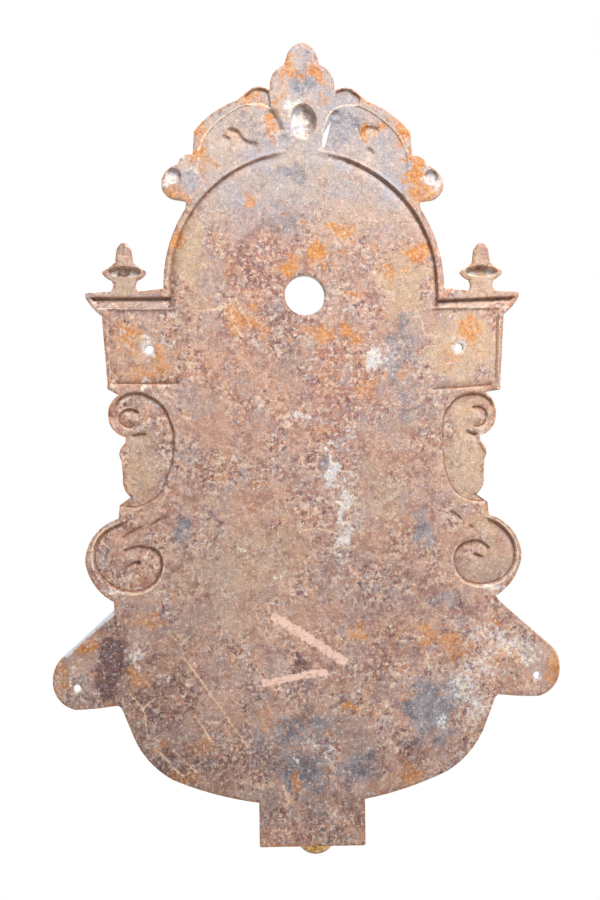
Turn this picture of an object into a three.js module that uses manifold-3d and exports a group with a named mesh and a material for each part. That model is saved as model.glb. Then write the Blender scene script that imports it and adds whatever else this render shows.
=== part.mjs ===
// Cast-iron wall fountain: an ornamental back plate with an arched top, a half bowl
// fixed to its front, and a brass waste under the bowl.
//
// Frame: millimetres, +Z up. The wall face of the plate lies on Y = 0 and the front
// looks towards +Y. The origin is on the wall face, midway between the two upper
// wall-screw holes.

import * as THREE from "three";
import * as BufferGeometryUtils from "three/addons/utils/BufferGeometryUtils.js";
import Module from "manifold-3d";

const wasm = await Module();
wasm.setup();

// ---------------------------------------------------------------- driving sizes

const GAP = 0.3; // clearance between touching pieces
const PLATE = 6; // thickness of the plate between its ornaments

const TAP_HOLE = { z: 50.8, radius: 19.5, bossRadius: 34, bossFront: 15 };
const CAPITAL_HOLE = { x: 148.6, z: 0, radius: 4.2 };
const EAR_HOLE = { x: 218.9, z: -317.2, radius: 3.4 };

const ARCH = { z: 60, outer: 134, grooveOuter: 127.5, grooveInner: 119.5, foot: 38 };
const FINIAL = { x: 170.7, top: 100, bulbZ: 72.5, bulbHalf: 19.8 };
const UPPER_VOLUTE = { x: 165, z: -64, radius: 20 };
const LOWER_VOLUTE = { x: 165, z: -206, radius: 22 };
const BUTTON = { x: 123.5, z: 160, radius: 6.2 };
const SHELL = { z: 217, halfWidth: 13.5, halfHeight: 19.5 };
const CROWN_TOP = 291.6;
const TAB = { halfWidth: 50.3, top: -430 };

// The pattern is not quite symmetric: its right scroll stands in and down a little,
// its left scroll out and up, and its capitals and tab end at different heights.
const RIGHT = { sign: 1, scrollOut: -2.2, scrollUp: -1.2, capitalUp: -1.8, tabBottom: -474 };
const LEFT = { sign: -1, scrollOut: 2.2, scrollUp: 1.2, capitalUp: 1.8, tabBottom: -472 };

const BASIN = {
  back: PLATE + 3, // rear face of the bowl's own back wall
  wall: 6,
  reach: 176, // how far the bowl stands out from its back wall
  halfWidth: 171,
  rim: -322,
};
const FOOT = { halfWidth: 46, front: 84, bottom: -466, top: -421.5, wall: 5 };
const WASTE = { x: 6, y: 42, tail: 14.5, tailEnd: -480, bore: 11, flange: 25.5, seat: 20 };
const BASIN_SCREWS = [
  { x: -128, z: -347 },
  { x: 128, z: -347 },
  { x: -92, z: -384 },
  { x: 92, z: -384 },
];
const BASIN_SCREW = { shank: 3.9, head: 7, headHeight: 4.5, tip: 2.8 };

// ---------------------------------------------------------------- solids

// A closed three.js geometry as a solid that can be joined and cut.
function solid(geometry) {
  const bare = geometry.clone();
  bare.deleteAttribute("normal");
  bare.deleteAttribute("uv");
  const merged = BufferGeometryUtils.mergeVertices(bare, 1e-4);
  return new wasm.Manifold(
    new wasm.Mesh({
      numProp: 3,
      vertProperties: Float32Array.from(merged.attributes.position.array),
      triVerts: Uint32Array.from(merged.index.array),
    }),
  );
}

// A solid back as a three.js geometry.
function geometryOf(body) {
  const mesh = body.getMesh();
  const geometry = new THREE.BufferGeometry();
  geometry.setAttribute("position", new THREE.BufferAttribute(Float32Array.from(mesh.vertProperties), 3));
  geometry.setIndex(new THREE.BufferAttribute(Uint32Array.from(mesh.triVerts), 1));
  geometry.computeVertexNormals();
  return geometry;
}

const join = (bodies) => bodies.reduce((whole, body) => whole.add(body));
const cut = (body, tools) => tools.reduce((rest, tool) => rest.subtract(tool), body);

// A slab whose face is drawn in X and Z, between two depths along Y.
function slab(points, back, front) {
  const geometry = new THREE.ExtrudeGeometry(new THREE.Shape(points), {
    depth: front - back,
    bevelEnabled: false,
  });
  geometry.translate(0, 0, -front);
  geometry.rotateX(Math.PI / 2);
  return solid(geometry);
}

// A round rod along Y.
function rodY(x, z, radius, back, front, sides = 32) {
  const geometry = new THREE.CylinderGeometry(radius, radius, front - back, sides);
  geometry.translate(x, (back + front) / 2, z);
  return solid(geometry);
}

// A block between two corners.
function block(low, high) {
  const size = high.map((value, axis) => value - low[axis]);
  const geometry = new THREE.BoxGeometry(...size);
  geometry.translate(...low.map((value, axis) => value + size[axis] / 2));
  return solid(geometry);
}

// A turned shape about the Z axis: its profile lists radius and height.
function turned(profile, sides = 32) {
  const points = profile.map(([radius, z]) => new THREE.Vector2(radius, z));
  const geometry = new THREE.LatheGeometry(points, sides);
  geometry.rotateX(Math.PI / 2);
  return geometry;
}

// ---------------------------------------------------------------- outlines

// Follows nodes [x, z, bulge]. The stretch after a node is straight, or an arc that
// stands out by bulge to the right of the way it runs (to the left if negative).
function trace(nodes, closed = false) {
  const points = [];
  const stretches = closed ? nodes.length : nodes.length - 1;
  for (let i = 0; i < stretches; i += 1) {
    const [x0, z0, bulge = 0] = nodes[i];
    const [x1, z1] = nodes[(i + 1) % nodes.length];
    points.push(...stretch(x0, z0, x1, z1, bulge));
  }
  if (!closed) {
    const last = nodes[nodes.length - 1];
    points.push(new THREE.Vector2(last[0], last[1]));
  }
  return points;
}

// The start and the inner points of one stretch.
function stretch(x0, z0, x1, z1, bulge) {
  const start = new THREE.Vector2(x0, z0);
  if (Math.abs(bulge) < 0.2) {
    return [start];
  }
  const chord = Math.hypot(x1 - x0, z1 - z0);
  const radius = (chord * chord) / (8 * Math.abs(bulge)) + Math.abs(bulge) / 2;
  const side = Math.sign(bulge);
  const normalX = (side * (z1 - z0)) / chord;
  const normalZ = (-side * (x1 - x0)) / chord;
  const inset = Math.abs(bulge) - radius;
  const centreX = (x0 + x1) / 2 + normalX * inset;
  const centreZ = (z0 + z1) / 2 + normalZ * inset;
  const half = Math.asin(Math.min(1, chord / (2 * radius)));
  const middle = Math.atan2(normalZ, normalX);
  const steps = Math.max(2, Math.ceil((2 * half) / THREE.MathUtils.degToRad(14)));
  const inner = Array.from({ length: steps - 1 }, (_, i) => {
    const angle = middle - side * half + (side * 2 * half * (i + 1)) / steps;
    return new THREE.Vector2(centreX + radius * Math.cos(angle), centreZ + radius * Math.sin(angle));
  });
  return [start, ...inner];
}

// The right half of the plate's outline, from the foot of the tab to the crown's tip.
function halfOutline({ scrollOut, scrollUp, capitalUp, tabBottom }) {
  const scroll = ([x, z, bulge = 0]) => [x + scrollOut, z + scrollUp, bulge];
  const finial = ([x, z, bulge = 0]) => [FINIAL.x + x, z, bulge];
  const tabAndBowl = [
    [TAB.halfWidth, tabBottom],
    [TAB.halfWidth, TAB.top, 2.7],
    [130, -406.2, 5.1],
    [168, -362],
    [177.5, -338, -1.4],
  ];
  const ear = [
    [184, -334.8, 0.5],
    [220, -337.2, 7],
    [241.2, -308, 3],
    [230, -286.5],
    [183.5, -245],
  ];
  const scrolls = [
    [182, -238.5, 5.6],
    [208, -200, 8.3],
    [176.5, -160.5],
    [175.3, -148],
    [165, -140.5, 2.5],
    [172, -122],
    [173, -106, 0.5],
    [175.2, -99.5, 1],
    [169.8, -90, -0.5],
    [169.5, -84, 4.1],
    [184.8, -65, 3.5],
    [175, -43.3 - scrollUp],
  ].map(scroll);
  const capital = [
    [186.8, -39.6 + capitalUp, 0.8],
    [187.3, -35.5 + capitalUp],
    [192, 31.5, 1.5],
    [207, 49],
    [207, 52.8],
  ];
  const finialSide = [
    [13, 54.3, -1.2],
    [10.8, 62],
    [12, 65, 0.6],
    [FINIAL.bulbHalf, 70.5, 0.8],
    [19.6, 73.8, -0.8],
    [8.3, 82],
    [7.4, 90, 0.8],
    [4.3, 97.8, 1],
    [0, FINIAL.top, 1],
  ];
  const finialMirror = [
    [-4.3, 97.8, 0.8],
    [-7.4, 90],
    [-8.3, 82, -0.8],
    [-19.6, 73.8, 0.8],
    [-FINIAL.bulbHalf, 70.5, 0.6],
    [-12, 65],
    [-10.8, 62, -1.2],
    [-13, 54.3],
  ];
  const archAndButton = [
    [ARCH.outer, 57, 5.8],
    [112.9, 132.2],
    [111.5, 139.8],
    [120, 141.3, 4.4],
    [135, 156.5, 4],
    [119, 174.8, 3.6],
    [105, 183.8],
  ];
  const crown = [
    [103.5, 206, 3.8],
    [62, 236],
    [50, 246.5, 1.5],
    [38, 248.7, 0.4],
    [30.5, 246, 0.4],
    [30.3, 256, 2.3],
    [17, 270.5],
    [14.2, 280, 2.5],
  ];
  return [
    ...tabAndBowl,
    ...ear,
    ...scrolls,
    ...capital,
    ...finialSide.map(finial),
    ...finialMirror.map(finial),
    ...archAndButton,
    ...crown,
  ];
}

const mirrored = (points) => points.map(({ x, y }) => new THREE.Vector2(-x, y)).reverse();

function plateOutline() {
  const tip = [0, CROWN_TOP];
  const right = trace([...halfOutline(RIGHT), tip]);
  const left = trace([...halfOutline(LEFT), tip]);
  return [...right.slice(0, -1), ...mirrored(left)];
}

// Moves an outline drawn for the right side to the side it is wanted on.
function onSide(points, side, out = 0, up = 0) {
  const moved = points.map(({ x, y }) => new THREE.Vector2(side.sign * (x + out), y + up));
  return side.sign > 0 ? moved : moved.reverse();
}

// A half ring of the arch with straight legs below its centre.
function archBand(inner, outer, foot) {
  return trace([
    [outer, foot],
    [outer, ARCH.z, outer],
    [-outer, ARCH.z],
    [-outer, foot],
    [-inner, foot],
    [-inner, ARCH.z, -inner],
    [inner, ARCH.z],
    [inner, foot],
  ], true);
}

function ellipse(x, z, halfWidth, halfHeight, sides = 28) {
  return Array.from({ length: sides }, (_, i) => {
    const angle = (2 * Math.PI * i) / sides;
    return new THREE.Vector2(x + halfWidth * Math.cos(angle), z + halfHeight * Math.sin(angle));
  });
}

// ---------------------------------------------------------------- back plate: rear hollows

// The scroll's kidney-shaped hollow, around its two volutes.
const SCROLL_HOLLOW = trace([
  [150, -146, 1],
  [166, -146.5],
  [162, -138, 2],
  [168.5, -122],
  [169.5, -104],
  [166, -90],
  [153, -80, 8],
  [176, -52, 6],
  [149, -46, 7],
  [131, -78, 1.5],
  [134, -122, 3],
], true);

// The leaf below it, running into the lower volute.
const LOWER_HOLLOW = trace([
  [LOWER_VOLUTE.x - 24, -206, 13],
  [LOWER_VOLUTE.x + 14, -224, 7],
  [199, -198, 7],
  [176, -167],
  [158, -172, -3],
  [147, -190, 1],
], true);

function sideHollows(side) {
  const scroll = (points) => onSide(points, side, side.scrollOut, side.scrollUp);
  const capitalPanel = trace([
    [120, -35.5 + side.capitalUp],
    [183, -35.5 + side.capitalUp],
    [186.5, 35],
    [120, 35],
  ], true);
  const cornice = trace([[120, 36], [196, 39, 1], [203, 49.5], [128.5, 47.5]], true);
  const leafCurl = trace([[56, 199, -3], [67, 211, 1.5], [73, 205, -1], [68, 184, -4]], true);
  const earDish = ellipse(193, -300, 13, 27, 20);
  return [
    slab(onSide(capitalPanel, side), -1, 1.8),
    slab(onSide(cornice, side), -1, 5),
    slab(onSide(ellipse(FINIAL.x, FINIAL.bulbZ, 15, 5, 18), side), -1, 4.5),
    slab(onSide(leafCurl, side), -1, 2.4),
    slab(onSide(earDish, side), -1, 2),
    slab(scroll(SCROLL_HOLLOW), -1, 3),
    slab(scroll(LOWER_HOLLOW), -1, 3),
    rodY(side.sign * BUTTON.x, BUTTON.z + 3, BUTTON.radius, -1, 3, 18),
    rodY(side.sign * CAPITAL_HOLE.x, CAPITAL_HOLE.z, CAPITAL_HOLE.radius, -2, 30, 20),
    rodY(side.sign * EAR_HOLE.x, EAR_HOLE.z, EAR_HOLE.radius, -2, 30, 20),
  ];
}

// A narrow gap that the crown's right leaf leaves beside the shell.
const CROWN_SLIT = trace([[18, 191.5], [21.5, 193], [28, 219], [20, 207, 0.5]], true);

function rearHollows() {
  return [
    slab(archBand(ARCH.grooveInner, ARCH.grooveOuter, ARCH.foot + 1), -1, 3),
    slab(ellipse(0, SHELL.z, SHELL.halfWidth, SHELL.halfHeight), -1, 7),
    slab(CROWN_SLIT, -2, 30),
    rodY(0, TAP_HOLE.z, TAP_HOLE.radius, -2, 40, 48),
    ...sideHollows(RIGHT),
    ...sideHollows(LEFT),
  ];
}

// ---------------------------------------------------------------- back plate: front ornament

// The front half of a turned finial, flattened against the plate.
function finialFront(side) {
  const profile = [
    [0, 53], [11.5, 53], [9.2, 62], [10.5, 65], [18, 70.5], [18, 73.8], [7.2, 82], [6.2, 90], [3.5, 97], [0, 98.6],
  ];
  const geometry = turned(profile, 20);
  geometry.scale(1, 0.7, 1);
  geometry.translate(side.sign * FINIAL.x, PLATE, 0);
  return solid(geometry).intersect(block([-230, PLATE - 1, 40], [230, 60, 110]));
}

function sideOrnament(side) {
  const scrollAt = (x, z, radius, front) =>
    rodY(side.sign * (x + side.scrollOut), z + side.scrollUp, radius, PLATE - 1, front, 32);
  const capitalBlock = trace([
    [116, -37 + side.capitalUp],
    [184.5, -37 + side.capitalUp],
    [189.5, 34],
    [116, 34],
  ], true);
  const cornice = trace([[114, 33], [190, 33, 1.2], [204.5, 47], [204.5, 51.5], [114, 51.5]], true);
  const scrollStem = trace([
    [131, -150],
    [163, -146],
    [169, -122],
    [171, -100],
    [160, -60],
    [135, -60, 1.5],
    [129, -90, 1],
  ], true);
  const neck = trace([[146, -190], [172, -170], [172, -148], [140, -150]], true);
  const leaf = trace([
    [112, 143, -3],
    [92, 158, 0],
    [26, 188, 0],
    [33, 224, 2],
    [60, 233, 3.4],
    [100.5, 204],
    [102, 184],
    [116, 172, 1],
  ], true);
  const earWing = trace([
    [150, -262, 1],
    [187, -241.5],
    [232.5, -281.5, 3],
    [238, -300],
    [226, -294],
    [190, -266],
    [156, -282],
  ], true);
  return [
    slab(onSide(capitalBlock, side), PLATE - 1, 15),
    slab(onSide(cornice, side), PLATE - 1, 22),
    finialFront(side),
    slab(onSide(scrollStem, side, side.scrollOut, side.scrollUp), PLATE - 1, 10.5),
    slab(onSide(neck, side, side.scrollOut, side.scrollUp), PLATE - 1, 10.5),
    scrollAt(UPPER_VOLUTE.x, UPPER_VOLUTE.z, 18, 12),
    scrollAt(UPPER_VOLUTE.x, UPPER_VOLUTE.z, 9, 15),
    scrollAt(LOWER_VOLUTE.x + 6, LOWER_VOLUTE.z + 4, 32, 12),
    scrollAt(LOWER_VOLUTE.x, LOWER_VOLUTE.z, 20, 15),
    slab(onSide(leaf, side), PLATE - 1, 11),
    rodY(side.sign * BUTTON.x, BUTTON.z, 10.5, PLATE - 1, 13, 24),
    slab(onSide(earWing, side), PLATE - 2, 13),
  ];
}

// The bosses that take the basin screws stand out to just short of the basin.
function screwBosses() {
  return BASIN_SCREWS.map(({ x, z }) => rodY(x, z, 9, PLATE - 1, BASIN.back - GAP, 24));
}

function frontOrnament() {
  const shell = trace([[-20, 189], [20, 189], [27, 246, 1], [13, 268], [0, 286], [-13, 268, 1], [-27, 246]], true);
  return [
    slab(archBand(116.5, 131, ARCH.foot), PLATE - 1, 12),
    slab(shell, PLATE - 1, 14),
    rodY(0, TAP_HOLE.z, TAP_HOLE.bossRadius, PLATE - 1, TAP_HOLE.bossFront, 48),
    ...sideOrnament(RIGHT),
    ...sideOrnament(LEFT),
    ...screwBosses(),
  ];
}

function backPlate() {
  const plate = join([slab(plateOutline(), 0, PLATE), ...frontOrnament()]);
  const screwHoles = BASIN_SCREWS.map(({ x, z }) => rodY(x, z, BASIN_SCREW.shank + GAP, BASIN_SCREW.tip - 0.6, 20, 20));
  return cut(plate, [...rearHollows(), ...screwHoles]);
}

// ---------------------------------------------------------------- basin

// Radius and height of the bowl's outside, from the bottom to the rim's inner edge.
const BOWL_OUTSIDE = [
  [0, -427.6], [62, -427.6], [92, -420.6], [112, -412.6], [130, -401.5], [146, -386],
  [157, -369], [164, -352], [167, -337], [175, -335], [178.5, -329], [176, -323],
  [BASIN.halfWidth, BASIN.rim],
];

// The same for its inside; the flat bottom takes the waste.
const BOWL_INSIDE = [
  [0, -420], [70, -420], [92, -413], [110, -404.5], [126, -393], [139, -379], [149, -362],
  [156, -345], [160, -332], [163, -322], [163, -300], [0, -300],
];

// A bowl shape turned about the middle of the back wall, drawn in or out along Y.
function bowlSolid(profile, sides) {
  const geometry = turned(profile, sides);
  geometry.scale(1, BASIN.reach / BASIN.halfWidth, 1);
  geometry.translate(0, BASIN.back, 0);
  return solid(geometry);
}

function basin() {
  const room = (from) => block([-260, from, -500], [260, 300, -200]);
  const outside = bowlSolid([...BOWL_OUTSIDE, [0, BASIN.rim]], 72).intersect(room(BASIN.back));
  const inside = bowlSolid(BOWL_INSIDE, 72).intersect(room(BASIN.back + BASIN.wall));
  const foot = block([-FOOT.halfWidth, BASIN.back, FOOT.bottom], [FOOT.halfWidth, FOOT.front, FOOT.top]);
  const footRoom = block(
    [-FOOT.halfWidth + FOOT.wall, BASIN.back + FOOT.wall, FOOT.bottom - 5],
    [FOOT.halfWidth - FOOT.wall, FOOT.front - FOOT.wall, BOWL_OUTSIDE[0][1]],
  );
  const wasteHole = turned([[0, -440], [15.2, -440], [15.2, -400], [0, -400]], 36);
  wasteHole.translate(WASTE.x, WASTE.y, 0);
  const screwHoles = BASIN_SCREWS.map(({ x, z }) => rodY(x, z, BASIN_SCREW.shank + GAP, 0, 30, 20));
  return cut(join([outside, foot]), [inside, footRoom, solid(wasteHole), ...screwHoles]);
}

function basinSeal() {
  return block([-158, PLATE + GAP, BASIN.rim - 12], [158, BASIN.back - GAP, BASIN.rim - 2]);
}

// A slotted screw that points at the wall, with its head inside the bowl.
function basinScrew({ x, z }) {
  const seat = BASIN.back + BASIN.wall + 2 * GAP + 1.2;
  const shank = rodY(x, z, BASIN_SCREW.shank, BASIN_SCREW.tip, seat + 1, 20);
  const head = rodY(x, z, BASIN_SCREW.head, seat, seat + BASIN_SCREW.headHeight, 28);
  const slot = block([x - 9, seat + 2.9, z - 0.7], [x + 9, seat + 9, z + 0.7]);
  return shank.add(head).subtract(slot);
}

function basinWasher({ x, z }) {
  const back = BASIN.back + BASIN.wall + GAP;
  const disc = rodY(x, z, 8, back, back + 1.2, 28);
  return disc.subtract(rodY(x, z, BASIN_SCREW.shank + GAP, back - 1, back + 3, 20));
}

// ---------------------------------------------------------------- waste

// A turned waste piece, moved to the waste's axis.
function wastePiece(profile, sides = 36) {
  const geometry = turned(profile, sides);
  geometry.translate(WASTE.x, WASTE.y, 0);
  return solid(geometry);
}

function ring(inner, outer, bottom, top) {
  return wastePiece([[inner, bottom], [outer, bottom], [outer, top], [inner, top], [inner, bottom]]);
}

function wasteBody() {
  return wastePiece([
    [WASTE.bore, WASTE.tailEnd],
    [WASTE.tail, WASTE.tailEnd],
    [WASTE.tail, -418.4],
    [WASTE.flange - 1, -418.4],
    [WASTE.flange, -417.6],
    [WASTE.flange - 2.5, -415.2],
    [WASTE.seat, -414.8],
    [WASTE.seat, -417.2],
    [WASTE.bore, -417.2],
    [WASTE.bore, WASTE.tailEnd],
  ]);
}

// The loose grid: a disc with a centre hole and two rings of holes.
function wasteStrainer() {
  const disc = wastePiece([[0, -416.9], [WASTE.seat - 0.5, -416.9], [WASTE.seat - 0.5, -415.2], [0, -415.2]]);
  const rings = [
    { count: 1, radius: 0, hole: 2.6 },
    { count: 6, radius: 8, hole: 2.4 },
    { count: 12, radius: 15, hole: 2.2 },
  ];
  const holes = rings.flatMap(({ count, radius, hole }) =>
    Array.from({ length: count }, (_, i) => {
      const angle = (2 * Math.PI * i) / count;
      const geometry = new THREE.CylinderGeometry(hole, hole, 10, 12);
      geometry.rotateX(Math.PI / 2);
      geometry.translate(WASTE.x + radius * Math.cos(angle), WASTE.y + radius * Math.sin(angle), -416);
      return solid(geometry);
    }),
  );
  return cut(disc, holes);
}

// An eight-sided nut around the tail.
function wasteLocknut() {
  const geometry = new THREE.CylinderGeometry(23.5, 23.5, 9, 8);
  geometry.rotateX(Math.PI / 2);
  geometry.translate(WASTE.x, WASTE.y, -435);
  const hole = wastePiece([[0, -450], [WASTE.tail + GAP, -450], [WASTE.tail + GAP, -420], [0, -420]]);
  return solid(geometry).subtract(hole);
}

// The domed outlet screwed on the end of the tail, with a flat ring around its mouth.
function outletNozzle() {
  const domeRadius = 20;
  const domeCentre = -474.4;
  const mouth = 5;
  const top = -465.5;
  const step = WASTE.tailEnd - 2.1;
  const dome = Array.from({ length: 8 }, (_, i) => {
    const angle = THREE.MathUtils.degToRad(-66 + 9 * i);
    return [domeRadius * Math.cos(angle), domeCentre + domeRadius * Math.sin(angle)];
  });
  const inside = [[WASTE.tail + GAP, top], [WASTE.tail + GAP, step], [mouth, step]];
  const collar = [[domeRadius, -473.6], [21.6, -472.6], [21.6, -467], [21, top]];
  return wastePiece([...inside, [mouth, dome[0][1]], ...dome, ...collar, inside[0]]);
}

// ---------------------------------------------------------------- assembly

const MATERIALS = {
  rusted_iron: { color: 0x8f7468, roughness: 0.9, metalness: 0.25 },
  enamelled_iron: { color: 0xd9d6cd, roughness: 0.45, metalness: 0.05 },
  aged_brass: { color: 0x8a6a33, roughness: 0.5, metalness: 0.85 },
  steel: { color: 0x6d6863, roughness: 0.6, metalness: 0.8 },
  rubber: { color: 0x26241f, roughness: 0.85, metalness: 0 },
  fibre: { color: 0x7b2f22, roughness: 0.8, metalness: 0 },
};

function piece(name, body, material) {
  const mesh = new THREE.Mesh(geometryOf(body), new THREE.MeshStandardMaterial(MATERIALS[material]));
  mesh.name = name;
  return mesh;
}

const fountain = new THREE.Group();
fountain.add(
  piece("back_plate", backPlate(), "rusted_iron"),
  piece("basin", basin(), "enamelled_iron"),
  piece("basin_seal", basinSeal(), "rubber"),
  piece("waste_body", wasteBody(), "aged_brass"),
  piece("waste_strainer", wasteStrainer(), "aged_brass"),
  piece("waste_top_washer", ring(15.2, 25, -419.7, -418.7), "rubber"),
  piece("waste_bottom_washer", ring(15.2, 24, -430.2, -427.9), "rubber"),
  piece("waste_locknut", wasteLocknut(), "aged_brass"),
  piece("nozzle_washer", ring(WASTE.bore, WASTE.tail, WASTE.tailEnd - 1.8, WASTE.tailEnd - 0.3), "fibre"),
  piece("outlet_nozzle", outletNozzle(), "aged_brass"),
);
BASIN_SCREWS.forEach((place, i) => {
  fountain.add(piece(`basin_screw_${i + 1}`, basinScrew(place), "steel"));
  fountain.add(piece(`basin_washer_${i + 1}`, basinWasher(place), "rubber"));
});

export default fountain;
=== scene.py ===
import math
from dataclasses import dataclass
from functools import lru_cache

import bmesh
import bpy
import numpy as np
from mathutils import Matrix, Vector
from mathutils.geometry import delaunay_2d_cdt


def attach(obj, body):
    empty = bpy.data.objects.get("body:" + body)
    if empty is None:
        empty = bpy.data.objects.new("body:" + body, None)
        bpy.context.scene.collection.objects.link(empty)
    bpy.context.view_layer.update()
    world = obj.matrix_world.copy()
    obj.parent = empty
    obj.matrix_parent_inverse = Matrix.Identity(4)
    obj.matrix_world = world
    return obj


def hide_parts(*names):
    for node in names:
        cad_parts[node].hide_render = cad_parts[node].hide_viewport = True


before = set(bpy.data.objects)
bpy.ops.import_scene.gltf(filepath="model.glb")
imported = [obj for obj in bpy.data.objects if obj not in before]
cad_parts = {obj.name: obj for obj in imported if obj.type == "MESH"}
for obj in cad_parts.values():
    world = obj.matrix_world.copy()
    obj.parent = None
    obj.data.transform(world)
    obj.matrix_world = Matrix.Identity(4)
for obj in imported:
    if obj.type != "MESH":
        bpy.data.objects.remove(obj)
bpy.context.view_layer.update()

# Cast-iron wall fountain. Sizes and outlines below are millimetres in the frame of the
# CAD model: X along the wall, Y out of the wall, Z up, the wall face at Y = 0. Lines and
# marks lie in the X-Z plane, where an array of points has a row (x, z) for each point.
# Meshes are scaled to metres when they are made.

# ------------------------------------------------------------------ driving sizes

MM = 0.001
PLATE = 6.0  # thickness of the plate between its ornaments
EDGE_STEP = 1.5  # spacing of points along outlines
REAR_STEP = 2.1  # spacing of points on the rear face
FRONT_STEP = 2.9  # spacing of points on the front face
STRAIGHT = 0.2  # a stretch of an outline that bulges less than this is drawn straight
DISH_REACH = 12.0  # how far in from its edge a hollow's floor keeps dishing
FOLD_END = 5.0  # length over which a fold fades out at each of its ends

TAP_HOLE = (0.0, 50.8, 19.5)  # x, z, radius, as for the two holes below
CAPITAL_HOLE = (148.6, 0.0, 4.2)
EAR_HOLE = (218.9, -317.2, 3.4)
ARCH_Z = 60.0  # centre of the arch, where its straight sides begin
ARCH_OUTER = 134.0
GROOVE_RADIUS = 127.5  # foot of the groove's outer wall inside the arch
ARCH_RIM = 118.3  # where the groove's long slope meets the field
BEAD_OUTER = 127.0  # radii of the round beads on the front of the arch
BEAD_INNER = 117.5
TAP_SEAT = 34.0  # radius of the raised seat round the tap hole
ROSETTE = 43.0  # radius of the petals round that seat
FINIAL_X = 170.7
FINIAL_EYE_Z = 72.5
BUTTON_Z = 163.5  # the small round end of the crown's leaf
CROWN_TOP = 291.6
CROWN_OVAL_Z = 216.0
TAB_HALF = 50.3  # half width of the foot tab
CORNICE_FOOT = 37.5  # where the shadow under the cornice ends
UPPER_VOLUTE = (165, -64)  # x, z of the centre, as for the lower one
LOWER_VOLUTE = (170, -202)
BASIN_SCREWS = [(-128, -347), (128, -347), (-92, -384), (92, -384)]

# The pattern is not quite symmetric: the two scrolls and capitals sit at different places.
# The capital's foot is the line where its sunk floor ends, and its slope's width follows.
RIGHT = {
    "sign": 1, "out": -2.2, "up": -1.2, "capital_up": -1.8, "tab": -474.0, "ear_depth": 1.2,
    "capital_foot": [(119, -40.5), (150, -38.6), (183, -36.4)], "foot_slope": 2.6,
}
LEFT = {
    "sign": -1, "out": 2.2, "up": 1.2, "capital_up": 1.8, "tab": -472.0, "ear_depth": 2.0,
    "capital_foot": [(119, -32.6), (150, -32.4), (184, -32.0)], "foot_slope": 4.6,
}
SIDES = (RIGHT, LEFT)

# ------------------------------------------------------------------ lines in the X-Z plane


def stretch(start, end, bulge, step):
    """Points from start up to, but not at, end: straight, or an arc that stands out by
    bulge to the right of the way it runs."""
    start, end = np.array(start, float), np.array(end, float)
    along = end - start
    chord = np.hypot(*along)
    if abs(bulge) < STRAIGHT:
        count = max(1, math.ceil(chord / step))
        return start + along * np.arange(count)[:, None] / count
    side = math.copysign(1, bulge)
    normal = side * np.array([along[1], -along[0]]) / chord
    radius = chord * chord / (8 * abs(bulge)) + abs(bulge) / 2
    centre = (start + end) / 2 + normal * (abs(bulge) - radius)
    half = math.asin(min(1.0, chord / (2 * radius)))
    count = max(2, math.ceil(2 * half * radius / step))
    angle = math.atan2(normal[1], normal[0]) - side * half + side * 2 * half * np.arange(count) / count
    return centre + radius * np.stack([np.cos(angle), np.sin(angle)], axis=1)


def trace(nodes, closed=False, step=EDGE_STEP):
    """Dense points along nodes (x, z) or (x, z, bulge of the stretch that follows)."""
    ends = nodes[1:] + nodes[:1] if closed else nodes[1:]
    parts = [
        stretch(node[:2], end[:2], node[2] if len(node) > 2 else 0, step)
        for node, end in zip(nodes, ends)
    ]
    return np.concatenate(parts if closed else parts + [np.array([nodes[-1][:2]], float)])


def smooth_line(points, step=1.2):
    """A smooth curve through a few points, with dense points along it."""
    points = np.array(points, float)
    padded = np.concatenate([[2 * points[0] - points[1]], points, [2 * points[-1] - points[-2]]])
    parts = []
    for before, start, end, after in zip(padded[:-3], padded[1:-2], padded[2:-1], padded[3:]):
        count = max(1, math.ceil(np.hypot(*(end - start)) / step))
        t = (np.arange(count) / count)[:, None]
        curve = 2 * start + (end - before) * t
        curve += (2 * before - 5 * start + 4 * end - after) * t**2
        curve += (3 * start - before - 3 * end + after) * t**3
        parts.append(0.5 * curve)
    return np.concatenate(parts + [points[-1:]])


def ellipse(x, z, half_width, half_height, step=EDGE_STEP):
    count = max(16, math.ceil(math.pi * (half_width + half_height) / step))
    angle = np.arange(count) / count * 2 * math.pi
    return np.stack([x + half_width * np.cos(angle), z + half_height * np.sin(angle)], axis=1)


def on_side(points, side, out=0.0, up=0.0):
    """Moves points drawn for the right side to the side that is wanted."""
    return (np.asarray(points, float) + (out, up)) * (side["sign"], 1)


def closed_line(points):
    return np.concatenate([points, points[:1]])


def offset_line(line, distance):
    """The line moved sideways, to the left of the way it runs."""
    along = np.gradient(line, axis=0)
    along /= np.maximum(np.hypot(*along.T), 1e-9)[:, None]
    return line + distance * np.stack([-along[:, 1], along[:, 0]], axis=1)


def in_box(points, low, high):
    return ((points > low) & (points < high)).all(axis=1)


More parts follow.
